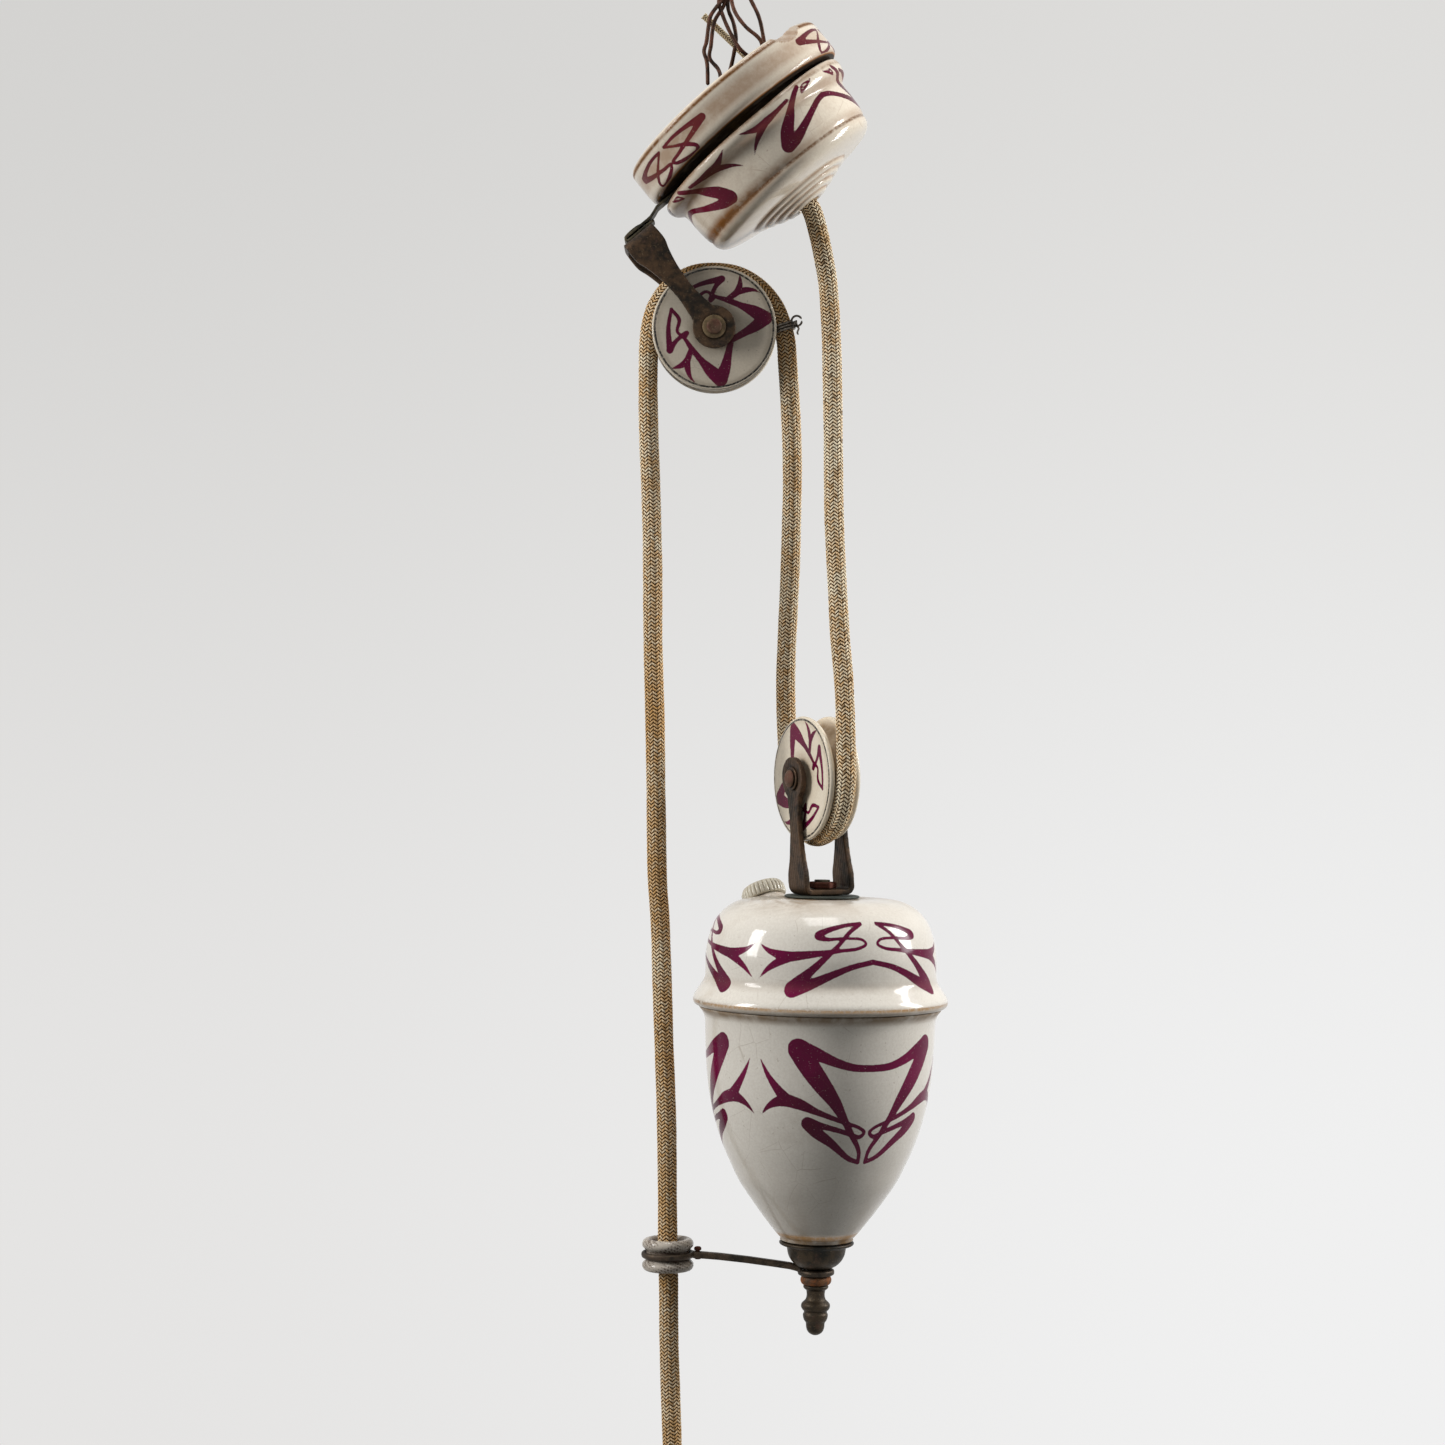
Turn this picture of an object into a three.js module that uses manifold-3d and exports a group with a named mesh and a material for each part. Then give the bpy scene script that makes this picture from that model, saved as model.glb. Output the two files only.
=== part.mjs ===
// Rise-and-fall lamp suspension: a porcelain ceiling rose, two porcelain pulleys and a porcelain
// counterweight on one braided cord. Millimetres, +Z up. The origin is the centre of the ceiling
// plate's top face, and the cord lies close to the XZ plane.
import * as THREE from 'three';
import { mergeVertices } from 'three/addons/utils/BufferGeometryUtils.js';
import Module from 'manifold-3d';

const wasm = await Module();
wasm.setup();

// ---------------------------------------------------------------- driving dimensions

const gap = 0.3; // between pieces that touch
const cord = { radius: 4.6, sides: 8 };
const deg = Math.PI / 180;

const ceiling = { plateRadius: 20, plateThick: 3, bossRadius: 5, bossLength: 6, holeRadius: 1.8,
  holePitch: 13 };
const hook = { radius: 2.2, shank: 14, bend: 7, tip: 6 };
const eye = { wire: 1.1, ring: 4.6, strand: 0.95, stemRadius: 2.4, bottom: [-3.6, 0, -66.8] };

const rose = {
  tilt: 39.6 * deg,
  top: [-6.2, 0, -114.4],
  ringRadius: 53,
  ringHeight: 18.6,
  ringWall: 5.5,
  ringFloor: 4.5,
  floorHole: 24,
  gapHeight: 3.2,
  lipRadius: 50.4,
  coverRadius: 45.7,
  coverHeight: 40.3,
  coverWall: 4.4,
  exitRadius: 6,
  bossRadius: 10.5,
  bossHeight: 8,
  notchRadius: 14,
  notchOut: 7.2,
  notchUp: 9,
  notchAzimuth: -44 * deg,
};

const nipple = { wall: 1.6, top: -12, nutRadius: 11, nutHeight: 4 };
const strap = { width: 12, leaf: 1.2, slit: 0.6, left: -73.6, end: 7, fold: 14.5, drop: 1.9, eyeRadius: 13 };
const ringBolt = { radius: 2, fromRim: 17, headRadius: 3.8, headHeight: 1.8, nutRadius: 4, nutHeight: 3 };
const boltPitch = rose.ringRadius - ringBolt.fromRim; // each bolt's distance from the rose's axis
const clamp = { top: -38, height: 7, wall: 3.8, screwRadius: 1.5, screwHead: 2.6 };
const block = { length: 28, width: 14, height: 8, centre: [2, 31] };
const core = { radius: 1.1, offset: 1.7 };

const pulley = { radius: 27.9, width: 15.5, cordRadius: 26, edge: 0.8, boreWall: 1.3 };
const axle = { radius: 2.9, washerRadius: 5.2, washerThick: 1, headRadius: 3.1, headHeight: 1.3 };
const yoke = { gap: 20, thick: 2.6, bend: 4, lugRadius: 9.6, length: 54, holeRadius: 3.2 };
const yokeRadial = -68.65; // the swivel axis, measured along the strap from the rose's own axis
const rivet = { radius: 2.9, headRadius: 4.8, headHeight: 1.6 };
const lowerPulley = [36.7, 0, -420.2];
const lowerPulleyTurn = -64 * deg; // turns the axle's direction from +Y towards +X

const weight = { top: [39.15, 0, -474], lean: 0.9 * deg, wall: 5, rodRadius: 3.5, capHeight: 48.6,
  bodyHeight: 105, shoulderRadius: 52, rimRadius: 57.3, bellyRadius: 51.7, neckRadius: 16.6,
  crownRadius: 29, spigot: 5 };
const forkWasher = { radius: 17, thick: 1 };
const forkNut = { radius: 6, height: 2.4 };
const ballast = { below: 21, gap: 1 }; // its top below the seam, and its distance from the wall
const filler = { azimuth: 129 * deg, tilt: 29 * deg, radius: 39, seat: -3.7, capRadius: 10.2,
  capHeight: 7, ribs: 30, boss: 1.2, bossRadius: 9, bore: 5.6, plug: 9 };

const arm = { drop: 14.1, eyeRadius: 8.3, height: 2.8, thick: 2, rivetRadius: 2, rivetHeight: 3.4 };
const guide = { centre: [-30.2, 0, -634.3], radius: 11.5, height: 13.6, bore: 6, mouth: 8.8,
  grooveRadius: 9.8, groove: 3.6 };

const stop = { centre: [21.6, 0, -217.3], lean: 19 * deg, wire: 0.9, height: 5, reach: 130 * deg, eye: 2.6 };
const grip = { top: [-27.2, 0, -768], lean: 1.1 * deg, length: 24, radius: 11, neck: 6.2, nutHeight: 7,
  nutRadius: 10, flangeRadius: 16, flangeThick: 3, tube: 14, tubeRadius: 5, tubeBore: 3.4 };

// ---------------------------------------------------------------- the cord's route, top to bottom

const runA = [ // out of the rose and down to the counterweight's pulley
  [16.78, 0, -142.18], [22.46, 0, -149.05], [27.56, 0, -155.21], [31.54, 0, -160.01], [34.53, 0, -164.42],
  [38, -0.3, -176.5],
  [40.1, -0.8, -186.9], [41.6, -1.2, -195.9], [42.4, -1.8, -204.9], [43.3, -3.3, -222.9], [43.8, -6, -249.9],
  [44, -9.2, -276.9], [44.2, -12.8, -303.9], [45.7, -17.6, -339.9], [46.6, -19.8, -357.9],
  [48.1, -21.9, -375.9],
  [48.8, -23.8, -393.9], [49.1, -24.9, -411.9],
];
const loop = [ // under the counterweight's pulley
  [49, -25.2, -420.2], [47.3, -21.8, -433.3], [42.8, -12.6, -442.9], [36.7, 0, -446.4], [30.6, 12.6, -442.9],
  [26.1, 21.8, -433.3], [24.4, 25.2, -420.2],
];
const runB = [ // up to the ceiling pulley
  [24.2, 25, -411], [23.6, 23.6, -393.9], [23.3, 21.9, -375.9], [23.8, 19.6, -357.9], [24.6, 17, -339.9],
  [25.3, 13.9, -321.9], [25.7, 10.6, -303.9], [26, 7.4, -285.9], [25.7, 4.3, -267.9], [24.8, 1.8, -249.9],
  [23.6, 0.5, -231.9], [22.9, 0.1, -222.9],
];
const arch = [ // over the ceiling pulley
  [20.6, 0, -214.8], [17.3, 0, -207.4], [10.6, 0, -199.5], [1.1, 0, -193.9], [-9.7, 0, -192.3],
  [-19.4, 0, -193.7],
  [-29.5, 0, -199.7], [-35.1, 0, -207.8], [-37.4, 0, -214.8],
];
const runC = [ // down through the guide ring to the lamp
  [-38.6, 0, -222.9], [-39.1, 0, -240.9], [-38.7, 0, -267.9], [-38, 0, -285.9], [-37.1, 0, -321.9],
  [-36.9, 0, -357.9], [-36, 0, -393.9], [-35.5, 0, -429.9], [-34.9, 0, -465.9], [-33.7, 0, -483.9],
  [-33.1, 0, -501.9], [-32, 0, -537.9], [-30.8, 0, -573.9], [-30.4, 0, -609.9], [-30.2, 0, -634.3],
  [-29.9, 0, -645.9], [-29.7, 0, -672.9], [-28.9, 0, -699.9], [-28.3, 0, -717.9], [-27.7, 0, -745],
  [-27.3, 0, -765], [-26.9, 0, -786],
];

const bareWires = [ // the conductors twisted on the hook's eye, down into the rose
  [[-3.4, 0.4, -63], [-5.2, 0, -69], [-8.1, -1.4, -73], [-11, -2, -77.5], [-12, -2.4, -83],
    [-12.8, -2.4, -89.2], [-13.9, -2.4, -93.3], [-12.6, -2.2, -98.2], [-12.2, -2, -108.6]],
  [[-3.6, 0.4, -65], [-5, 1, -71.9], [-9.2, 1.2, -79.1], [-10.8, 1.4, -89.9], [-11.4, 1.6, -95.5],
    [-7.6, 1.4, -100.5], [-6.5, 0, -104.3], [-6.1, -2, -117.3], [-6.6, -2, -137.5]],
  [[-3.8, 0.4, -64], [-7.2, 0, -69.9], [-5.4, -0.8, -77.1], [-1.8, -0.8, -85.2], [2.3, -0.6, -91.9],
    [7.5, 3, -96], [8, 14, -99], [3.2, 29, -105.8], [6.6, 31, -113.8]],
  [[-3.2, 0.6, -64], [-3, 1.6, -73.5], [-0.8, 3, -79], [0.5, 4.4, -86], [-0.4, 5.6, -92.4], [-2.4, 10, -99.8],
    [-7.4, 20, -109.5], [-11.4, 30, -116.5], [-5.9, 31, -124.3]],
  [[-2.6, 0, -64], [-0.2, -2, -75.1], [4.7, -3, -82.3], [11.4, -2, -88.3], [13, -1, -96], [14, -2, -107],
    [16.7, -4, -118.3]],
  [[-1.6, 0.6, -60], [4.4, 1.2, -64], [7.4, 1.2, -69.9], [10.8, 1.4, -77.1], [12.8, 2, -86], [14.2, 3, -97.5],
    [16.7, 4, -118.3]],
];
const insulatedLead = [[-14.2, 3.6, -75.9], [-9.4, 4.8, -80.1], [-4.2, 6.4, -84.7], [1.2, 9, -89.4],
  [5.6, 12.4, -94.4], [-1, 22, -102.4], [-4, 30, -110.5], [0.3, 31, -118.9]];

// ---------------------------------------------------------------- colours

const finishes = {
  porcelain: [0xe8dfcd, 0.18, 0],
  greyPorcelain: [0xb9b0a2, 0.35, 0],
  bronze: [0x4a3d2e, 0.45, 0.85],
  iron: [0x3a332b, 0.55, 0.8],
  rust: [0x6e3f28, 0.8, 0.3],
  brass: [0x8d7440, 0.4, 0.9],
  copper: [0x4b2c1f, 0.5, 0.8],
  braid: [0xc2a276, 0.9, 0],
  lead: [0x6b6b6b, 0.7, 0.6],
  resin: [0xcfc8b4, 0.5, 0],
  insulation: [0xbfa47c, 0.85, 0],
};

// ---------------------------------------------------------------- solids

const part = new THREE.Group();
part.name = 'lamp_suspension';

function solid(geometry) {
  const bare = geometry.clone();
  bare.deleteAttribute('normal');
  bare.deleteAttribute('uv');
  const merged = mergeVertices(bare, 1e-4);
  return new wasm.Manifold(new wasm.Mesh({
    numProp: 3,
    vertProperties: new Float32Array(merged.attributes.position.array),
    triVerts: new Uint32Array(merged.index.array),
  }));
}

function geometryOf(body) {
  const mesh = body.getMesh();
  const geometry = new THREE.BufferGeometry();
  geometry.setAttribute('position', new THREE.BufferAttribute(new Float32Array(mesh.vertProperties), 3));
  geometry.setIndex(new THREE.BufferAttribute(new Uint32Array(mesh.triVerts), 1));
  geometry.computeVertexNormals();
  return geometry;
}

function joined(...geometries) {
  return geometryOf(geometries.map(solid).reduce((whole, piece) => whole.add(piece)));
}

function cut(geometry, ...tools) {
  return geometryOf(tools.map(solid).reduce((whole, tool) => whole.subtract(tool), solid(geometry)));
}

function common(geometry, other) {
  return geometryOf(solid(geometry).intersect(solid(other)));
}

function add(group, name, geometry, finish) {
  const [color, roughness, metalness] = finishes[finish];
  const mesh = new THREE.Mesh(geometry, new THREE.MeshStandardMaterial({ color, roughness, metalness }));
  mesh.name = name;
  group.add(mesh);
  return mesh;
}

// A turned solid about Z from [radius, height] points, given in either direction.
function turned(profile, segments = 48) {
  const closed = profile[0][0] < 1e-6 ? profile : [...profile, profile[0]];
  let area = 0;
  for (let i = 0; i < closed.length - 1; i += 1) {
    area += closed[i][0] * closed[i + 1][1] - closed[i + 1][0] * closed[i][1];
  }
  const ordered = area > 0 ? closed : [...closed].reverse();
  return new THREE.LatheGeometry(ordered.map(([r, z]) => new THREE.Vector2(r, z)), segments)
    .rotateX(Math.PI / 2);
}

function rod(radius, low, high, segments = 20) {
  return turned([[0, low], [radius, low], [radius, high], [0, high]], segments);
}

function ring(inner, outer, low, high, segments = 32) {
  return turned([[inner, low], [outer, low], [outer, high], [inner, high]], segments);
}

// A flat outline in XZ, as thick as asked, centred on Y = 0.
function plateXZ(outline, thick) {
  const shape = new THREE.Shape(outline.map(([x, z]) => new THREE.Vector2(x, z)));
  const geometry = new THREE.ExtrudeGeometry(shape, { depth: thick, bevelEnabled: false });
  return geometry.rotateX(Math.PI / 2).translate(0, thick / 2, 0);
}

function box(width, depth, height, centre) {
  return new THREE.BoxGeometry(width, depth, height).translate(...centre);
}

function circle(radius, sides) {
  const points = [];
  for (let i = 0; i < sides; i += 1) {
    const angle = (2 * Math.PI * i) / sides;
    points.push(new THREE.Vector2(radius * Math.cos(angle), radius * Math.sin(angle)));
  }
  return new THREE.Shape(points);
}

function curveThrough(points) {
  return new THREE.CatmullRomCurve3(points.map((p) => new THREE.Vector3(...p)));
}

function swept(curve, radius, steps, sides) {
  return new THREE.ExtrudeGeometry(circle(radius, sides), { steps, bevelEnabled: false, extrudePath: curve });
}

// A stretch of a longer curve between two shares of its length.
class Stretch extends THREE.Curve {
  constructor(whole, from, to) {
    super();
    this.whole = whole;
    this.from = from;
    this.to = to;
  }

  getPoint(t, target = new THREE.Vector3()) {
    return this.whole.getPointAt(this.from + (this.to - this.from) * t, target);
  }
}

function hexNut(radius, bore, low, high) {
  return cut(rod(radius, low, high, 6), rod(bore, low - 1, high + 1, 16));
}

// ---------------------------------------------------------------- ceiling plate, hook and eye

function makeCeiling() {
  const { plateRadius, plateThick, bossRadius, bossLength, holeRadius, holePitch } = ceiling;
  const under = -plateThick - bossLength;
  const body = turned([[0, 0], [plateRadius - 1, 0], [plateRadius, -1], [plateRadius, -plateThick],
    [bossRadius, -plateThick], [bossRadius, under], [0, under]], 32);
  const holes = [-1, 1].map((side) => rod(holeRadius, -plateThick - 1, 1, 20)
    .translate(0, side * holePitch, 0));
  const socket = rod(hook.radius + gap, under - 1, -plateThick, 16);
  add(part, 'ceiling_plate', cut(body, socket, ...holes), 'iron');

  const start = -plateThick - gap;
  const low = start - bossLength - hook.shank;
  const points = [[0, 0, start], [0, 0, start - bossLength], [0, 0, low]];
  for (let angle = 30; angle <= 180; angle += 30) {
    points.push([hook.bend - hook.bend * Math.cos(angle * deg), 0, low - hook.bend * Math.sin(angle * deg)]);
  }
  points.push([2 * hook.bend + 0.8, 0, low + hook.tip]);
  add(part, 'ceiling_hook', swept(curveThrough(points), hook.radius, 20, 10), 'iron');

  const hangs = low - hook.bend + hook.radius + eye.wire + gap; // the eye's wire inside the hook's bend
  const centre = [hook.bend, 0, hangs - eye.ring];
  const loopOfWire = new THREE.TorusGeometry(eye.ring, eye.wire, 8, 18).rotateY(Math.PI / 2)
    .translate(...centre);
  const from = [centre[0], 0, centre[2] - eye.ring];
  const stem = swept(curveThrough([from, [(from[0] + eye.bottom[0]) / 2 + 1, 0,
    (from[2] + eye.bottom[2]) / 2], eye.bottom]), eye.stemRadius, 6, 10);
  const wires = bareWires.map((points) => swept(curveThrough(points), eye.strand, 12, 6));
  add(part, 'hanger_wires', joined(loopOfWire, stem, ...wires), 'copper');
}

// ---------------------------------------------------------------- ceiling rose, in its own tilted frame

const roseGroup = new THREE.Group();
roseGroup.position.set(...rose.top);
roseGroup.rotation.y = -rose.tilt;
part.add(roseGroup);

const ringBottom = -rose.ringHeight;
const strapTop = ringBottom - gap;
const coverTop = ringBottom - rose.gapHeight;
const coverTip = coverTop - rose.coverHeight;
const nippleBore = cord.radius + 0.35;
const nippleRadius = nippleBore + nipple.wall;
const nippleSeat = 5.8; // height above the cover's tip

function makeRoseRing() {
  const { ringRadius: r, ringWall, ringFloor, floorHole, notchRadius, notchOut, notchUp,
    notchAzimuth } = rose;
  const inside = r - ringWall;
  const floorTop = ringBottom + ringFloor;
  const body = turned([[floorHole, ringBottom], [r - 3.4, ringBottom], [r - 1.6, ringBottom + 0.7],
    [r - 0.4, ringBottom + 1.8], [r, ringBottom + 3.4], [r, -2.9], [r - 0.5, -1.1], [r - 1.7, 0],
    [inside + 1, 0], [inside, -1], [inside, floorTop + 1], [inside - 1, floorTop],
    [floorHole, floorTop]], 40);
  const bore = (side) => rod(ringBolt.radius + gap, ringBottom - 1, floorTop + 1, 12)
    .translate(side * boltPitch, 0, 0);
  const notch = new THREE.SphereGeometry(notchRadius, 20, 14)
    .translate(r + notchOut, 0, notchUp)
    .rotateZ(notchAzimuth);
  add(roseGroup, 'rose_ring', cut(body, bore(1), bore(-1), notch), 'porcelain');
}

function makeRoseCover() {
  const { lipRadius: lip, coverRadius: r, coverWall: wall, exitRadius, bossRadius, bossHeight } = rose;
  const tip = coverTip;
  const seat = nippleRadius + gap;
  const outside = [[lip - 0.9, coverTop], [lip, coverTop - 1.2], [lip, coverTop - 3.6],
    [lip - 1.3, coverTop - 5.4], [r + 0.9, coverTop - 7.6], [r, coverTop - 10.5], [r, coverTop - 20.5],
    [r - 0.6, coverTop - 22.6], [r - 1.4, coverTop - 26.4], [r - 2.7, tip + 11.6], [r - 4.8, tip + 9.8],
    [r - 9.2, tip + 8.8], [25.4, tip + 8.1], [23, tip + 6.2], [20.6, tip + 5.9], [18.6, tip + 4.4],
    [15.9, tip + 4.1], [13.8, tip + 2.3], [10.6, tip + 2], [9.2, tip + 0.4], [7.4, tip],
    [exitRadius, tip]];
  const inside = [[exitRadius, tip + nippleSeat], [seat, tip + nippleSeat], [seat, tip + bossHeight + 4],
    [bossRadius, tip + bossHeight + 4], [bossRadius, tip + wall + 3], [21, tip + wall + 5.6],
    [r - 9.2, tip + wall + 8.6], [r - wall, coverTop - 20.5], [r - wall, coverTop - 9],
    [lip - wall, coverTop - 4], [lip - wall, coverTop]];
  add(roseGroup, 'rose_cover', turned([...outside, ...inside], 40), 'porcelain');
}

function makeStrap() {
  const { width, leaf, slit, left, end, fold, drop, eyeRadius } = strap;
  const right = boltPitch + end;
  const top = strapTop;
  const lipEdge = -rose.ringRadius - 0.5;
  const outline = [[right, top], [lipEdge, top], [lipEdge - 6, top - drop], [left + 0.6, top - drop],
    [left, top - drop - 0.6], [left, top - drop - 2 * leaf - slit + 0.6],
    [left + 0.6, top - drop - 2 * leaf - slit], [left + fold, top - drop - 2 * leaf - slit],
    [left + fold, top - drop - leaf - slit], [left + leaf, top - drop - leaf - slit],
    [left + leaf, top - drop - leaf], [lipEdge - 6.3, top - drop - leaf], [lipEdge - 0.3, top - leaf],
    [right, top - leaf]];
  const eyePlate = rod(eyeRadius, top - leaf, top, 32);
  const centreHole = rod(nippleRadius + gap, top - leaf - 1, top + 1, 24);
  const boltHole = (side) => rod(ringBolt.radius + gap, top - leaf - 1, top + 1, 12)
    .translate(side * boltPitch, 0, 0);
  const rivetHole = rod(rivet.radius + gap, top - 12, top + 1, 16).translate(yokeRadial, 0, 0);
  const body = joined(plateXZ(outline, width), eyePlate);
  add(roseGroup, 'hanger_strap', cut(body, centreHole, boltHole(1), boltHole(-1), rivetHole), 'iron');
}

const strapUnder = strapTop - strap.drop - 2 * strap.leaf - strap.slit;
const yokeTop = strapUnder - gap;

function makeRoseInside() {
  const under = strapTop - strap.leaf;
  const screwHole = rod(clamp.screwRadius + gap, 0, 20, 12).rotateX(-Math.PI / 2)
    .translate(0, 0, clamp.top - clamp.height / 2);
  const tube = ring(nippleBore, nippleRadius, coverTip + nippleSeat + gap, nipple.top, 28);
  add(roseGroup, 'centre_nipple', cut(tube, screwHole), 'brass');
  const nutLow = strapTop + gap;
  add(roseGroup, 'nipple_nut', hexNut(nipple.nutRadius, nippleRadius + gap, nutLow,
    nutLow + nipple.nutHeight), 'brass');

  const collar = ring(nippleRadius + gap, nippleRadius + gap + clamp.wall, clamp.top - clamp.height,
    clamp.top, 28);
  add(roseGroup, 'clamp_collar', cut(collar, screwHole), 'brass');
  const screwEnd = nippleRadius + 2 * gap + clamp.wall;
  const screw = turned([[0, cord.radius + gap], [clamp.screwRadius, cord.radius + gap],
    [clamp.screwRadius, screwEnd], [clamp.screwHead, screwEnd], [clamp.screwHead, screwEnd + 2],
    [0, screwEnd + 2]], 14);
  add(roseGroup, 'clamp_screw', screw.rotateX(-Math.PI / 2)
    .translate(0, 0, clamp.top - clamp.height / 2), 'iron');

  const floorTop = ringBottom + rose.ringFloor;
  [['left', -1], ['right', 1]].forEach(([side, sign]) => {
    const b = ringBolt;
    const boltTop = floorTop + b.nutHeight + 1.5;
    const bolt = turned([[0, under - gap - b.headHeight], [b.headRadius, under - gap - b.headHeight],
      [b.headRadius, under - gap], [b.radius, under - gap], [b.radius, boltTop], [0, boltTop]], 16);
    add(roseGroup, `ring_bolt_${side}`, bolt.translate(sign * boltPitch, 0, 0), 'iron');
    const nut = hexNut(b.nutRadius, b.radius + gap, floorTop + gap, floorTop + gap + b.nutHeight);
    add(roseGroup, `ring_nut_${side}`, nut.translate(sign * boltPitch, 0, 0), 'iron');
  });

  const low = floorTop + gap;
  const [bx, by] = block.centre;
  const body = box(block.length, block.width, block.height, [bx, by, low + block.height / 2]);
  const wells = [-8, 0, 8].map((x) => rod(2.2, low + block.height - 3, low + block.height + 1, 12)
    .translate(bx + x, by, 0));
  add(roseGroup, 'terminal_block', cut(body, ...wells), 'porcelain');
  [['live', -1], ['neutral', 1]].forEach(([name, sign]) => {
    const x = sign * core.offset;
    const blockX = bx + sign * 4;
    const side = by - block.width / 2 - gap;
    const line = curveThrough([[x, 0, -35.4], [x, 0, -22], [x, 0, -11], [x * 1.4, 3.5, -7.4],
      [(x + blockX) / 2, 12, -7.2], [blockX, side, -8.5]]);
    add(roseGroup, `core_${name}`, swept(line, core.radius, 16, 6), 'insulation');
  });
}

// ---------------------------------------------------------------- pulleys and their yokes

function sheave() {
  const { radius: r, width, cordRadius, edge, boreWall } = pulley;
  const half = width / 2;
  const round = cord.radius + 0.35;
  const bore = axle.radius + gap + boreWall + gap;
  const groove = [];
  for (let angle = 0; angle <= 180; angle += 30) {
    groove.push([cordRadius - round * Math.sin(angle * deg), -round * Math.cos(angle * deg)]);
  }
  const profile = [[bore, -half], [r - edge, -half], [r, -half + edge], [r, -round - 0.9], ...groove,
    [r, round + 0.9], [r, half - edge], [r - edge, half], [bore, half]];
  return turned(profile, 32).rotateX(Math.PI / 2);
}

function bush() {
  const { width, boreWall } = pulley;
  const inner = axle.radius + gap;
  return ring(inner, inner + boreWall, -width / 2 - 0.4, width / 2 + 0.4, 18).rotateX(Math.PI / 2);
}

// A bent U of flat bar: bridge along Y at z = 0, legs down to the axle's lugs.
function bentYoke(length, bridgeHole) {
  const { thick, bend, lugRadius, holeRadius } = yoke;
  const inner = yoke.gap / 2;
  const outer = inner + thick;
  const low = -length - lugRadius - 1;
  const section = (half, top, radius) => {
    const points = [[-half, low]];
    for (let angle = 180; angle >= 90; angle -= 22.5) {
      points.push([-half + radius + radius * Math.cos(angle * deg),
        top - radius + radius * Math.sin(angle * deg)]);
    }
    for (let angle = 90; angle >= 0; angle -= 22.5) {
      points.push([half - radius + radius * Math.cos(angle * deg),
        top - radius + radius * Math.sin(angle * deg)]);
    }
    points.push([half, low]);
    return plateXZ(points, 3 * lugRadius).rotateZ(Math.PI / 2);
  };
  const u = cut(section(outer, 0, bend), section(inner, -thick, bend - thick).translate(0, 0, 0)
    .scale(1.2, 1, 1));
  const side = [[0, 8], [-9.5, 8.1], [-14.4, 6.6], [-22.5, 4.9], [-33.3, 4.1], [-length + 12, 4.9],
    [-length + lugRadius - 1.6, 5.5]];
  const right = side.map(([z, w]) => [w, z]);
  const lug = [];
  for (let angle = 47.5; angle >= -227.5; angle -= 13.75) {
    lug.push([lugRadius * Math.cos(angle * deg), -length + lugRadius * Math.sin(angle * deg)]);
  }
  const left = side.map(([z, w]) => [-w, z]).reverse();
  const outline = plateXZ([...right, ...lug, ...left], 2 * outer + 2);
  const axleHole = rod(holeRadius, -outer - 1, outer + 1, 20).rotateX(Math.PI / 2).translate(0, 0, -length);
  return cut(common(u, outline), axleHole, rod(bridgeHole, -thick - 1, 1, 20));
}

function axlePin() {
  const { radius, headRadius, headHeight, washerThick } = axle;
  const face = yoke.gap / 2 + yoke.thick + washerThick + 2 * gap;
  const half = [[radius, 0], [radius, face], [headRadius, face + 0.2],
    [headRadius - 0.6, face + headHeight - 0.3], [0, face + headHeight]];
  const mirrored = half.map(([r, z]) => [r, -z]).reverse();
  return turned([...mirrored, ...half.slice(1)], 16).rotateX(Math.PI / 2);
}

function axleWasher(side) {
  const near = yoke.gap / 2 + yoke.thick + gap;
  return ring(axle.radius + gap, axle.washerRadius, near, near + axle.washerThick, 18)
    .rotateX(side * Math.PI / 2);
}

function makeUpperPulley() {
  const yokeGroup = new THREE.Group();
  yokeGroup.position.set(yokeRadial, 0, yokeTop);
  roseGroup.add(yokeGroup);
  add(yokeGroup, 'upper_yoke', bentYoke(yoke.length, rivet.radius + gap), 'bronze');
  const foldTop = strapTop - strap.drop - yokeTop;
  const shank = turned([[0, foldTop + gap + rivet.headHeight],
    [rivet.headRadius, foldTop + gap + rivet.headHeight - 0.5], [rivet.headRadius, foldTop + gap],
    [rivet.radius, foldTop + gap], [rivet.radius, -yoke.thick - gap],
    [rivet.headRadius, -yoke.thick - gap], [rivet.headRadius - 1, -yoke.thick - gap - rivet.headHeight],
    [0, -yoke.thick - gap - rivet.headHeight]], 20);
  add(yokeGroup, 'swivel_rivet', shank, 'iron');

  const axleGroup = new THREE.Group();
  axleGroup.position.set(0, 0, -yoke.length);
  axleGroup.rotation.y = rose.tilt;
  yokeGroup.add(axleGroup);
  add(axleGroup, 'upper_axle', axlePin(), 'iron');
  add(axleGroup, 'upper_washer_front', axleWasher(1), 'bronze');
  add(axleGroup, 'upper_washer_back', axleWasher(-1), 'bronze');
  add(axleGroup, 'upper_pulley', sheave(), 'porcelain');
  add(axleGroup, 'upper_pulley_bush', bush(), 'brass');
}

function makeLowerPulley() {
  const axleGroup = new THREE.Group();
  axleGroup.position.set(...lowerPulley);
  axleGroup.rotation.z = lowerPulleyTurn;
  part.add(axleGroup);
  add(axleGroup, 'lower_axle', axlePin(), 'iron');
  add(axleGroup, 'lower_washer_front', axleWasher(1), 'bronze');
  add(axleGroup, 'lower_washer_back', axleWasher(-1), 'bronze');
  add(axleGroup, 'lower_pulley', sheave(), 'porcelain');
  add(axleGroup, 'lower_pulley_bush', bush(), 'brass');
}

// ---------------------------------------------------------------- counterweight, in its own leaning frame

const weightGroup = new THREE.Group();
weightGroup.position.set(...weight.top);
weightGroup.rotation.y = weight.lean;
part.add(weightGroup);

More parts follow.
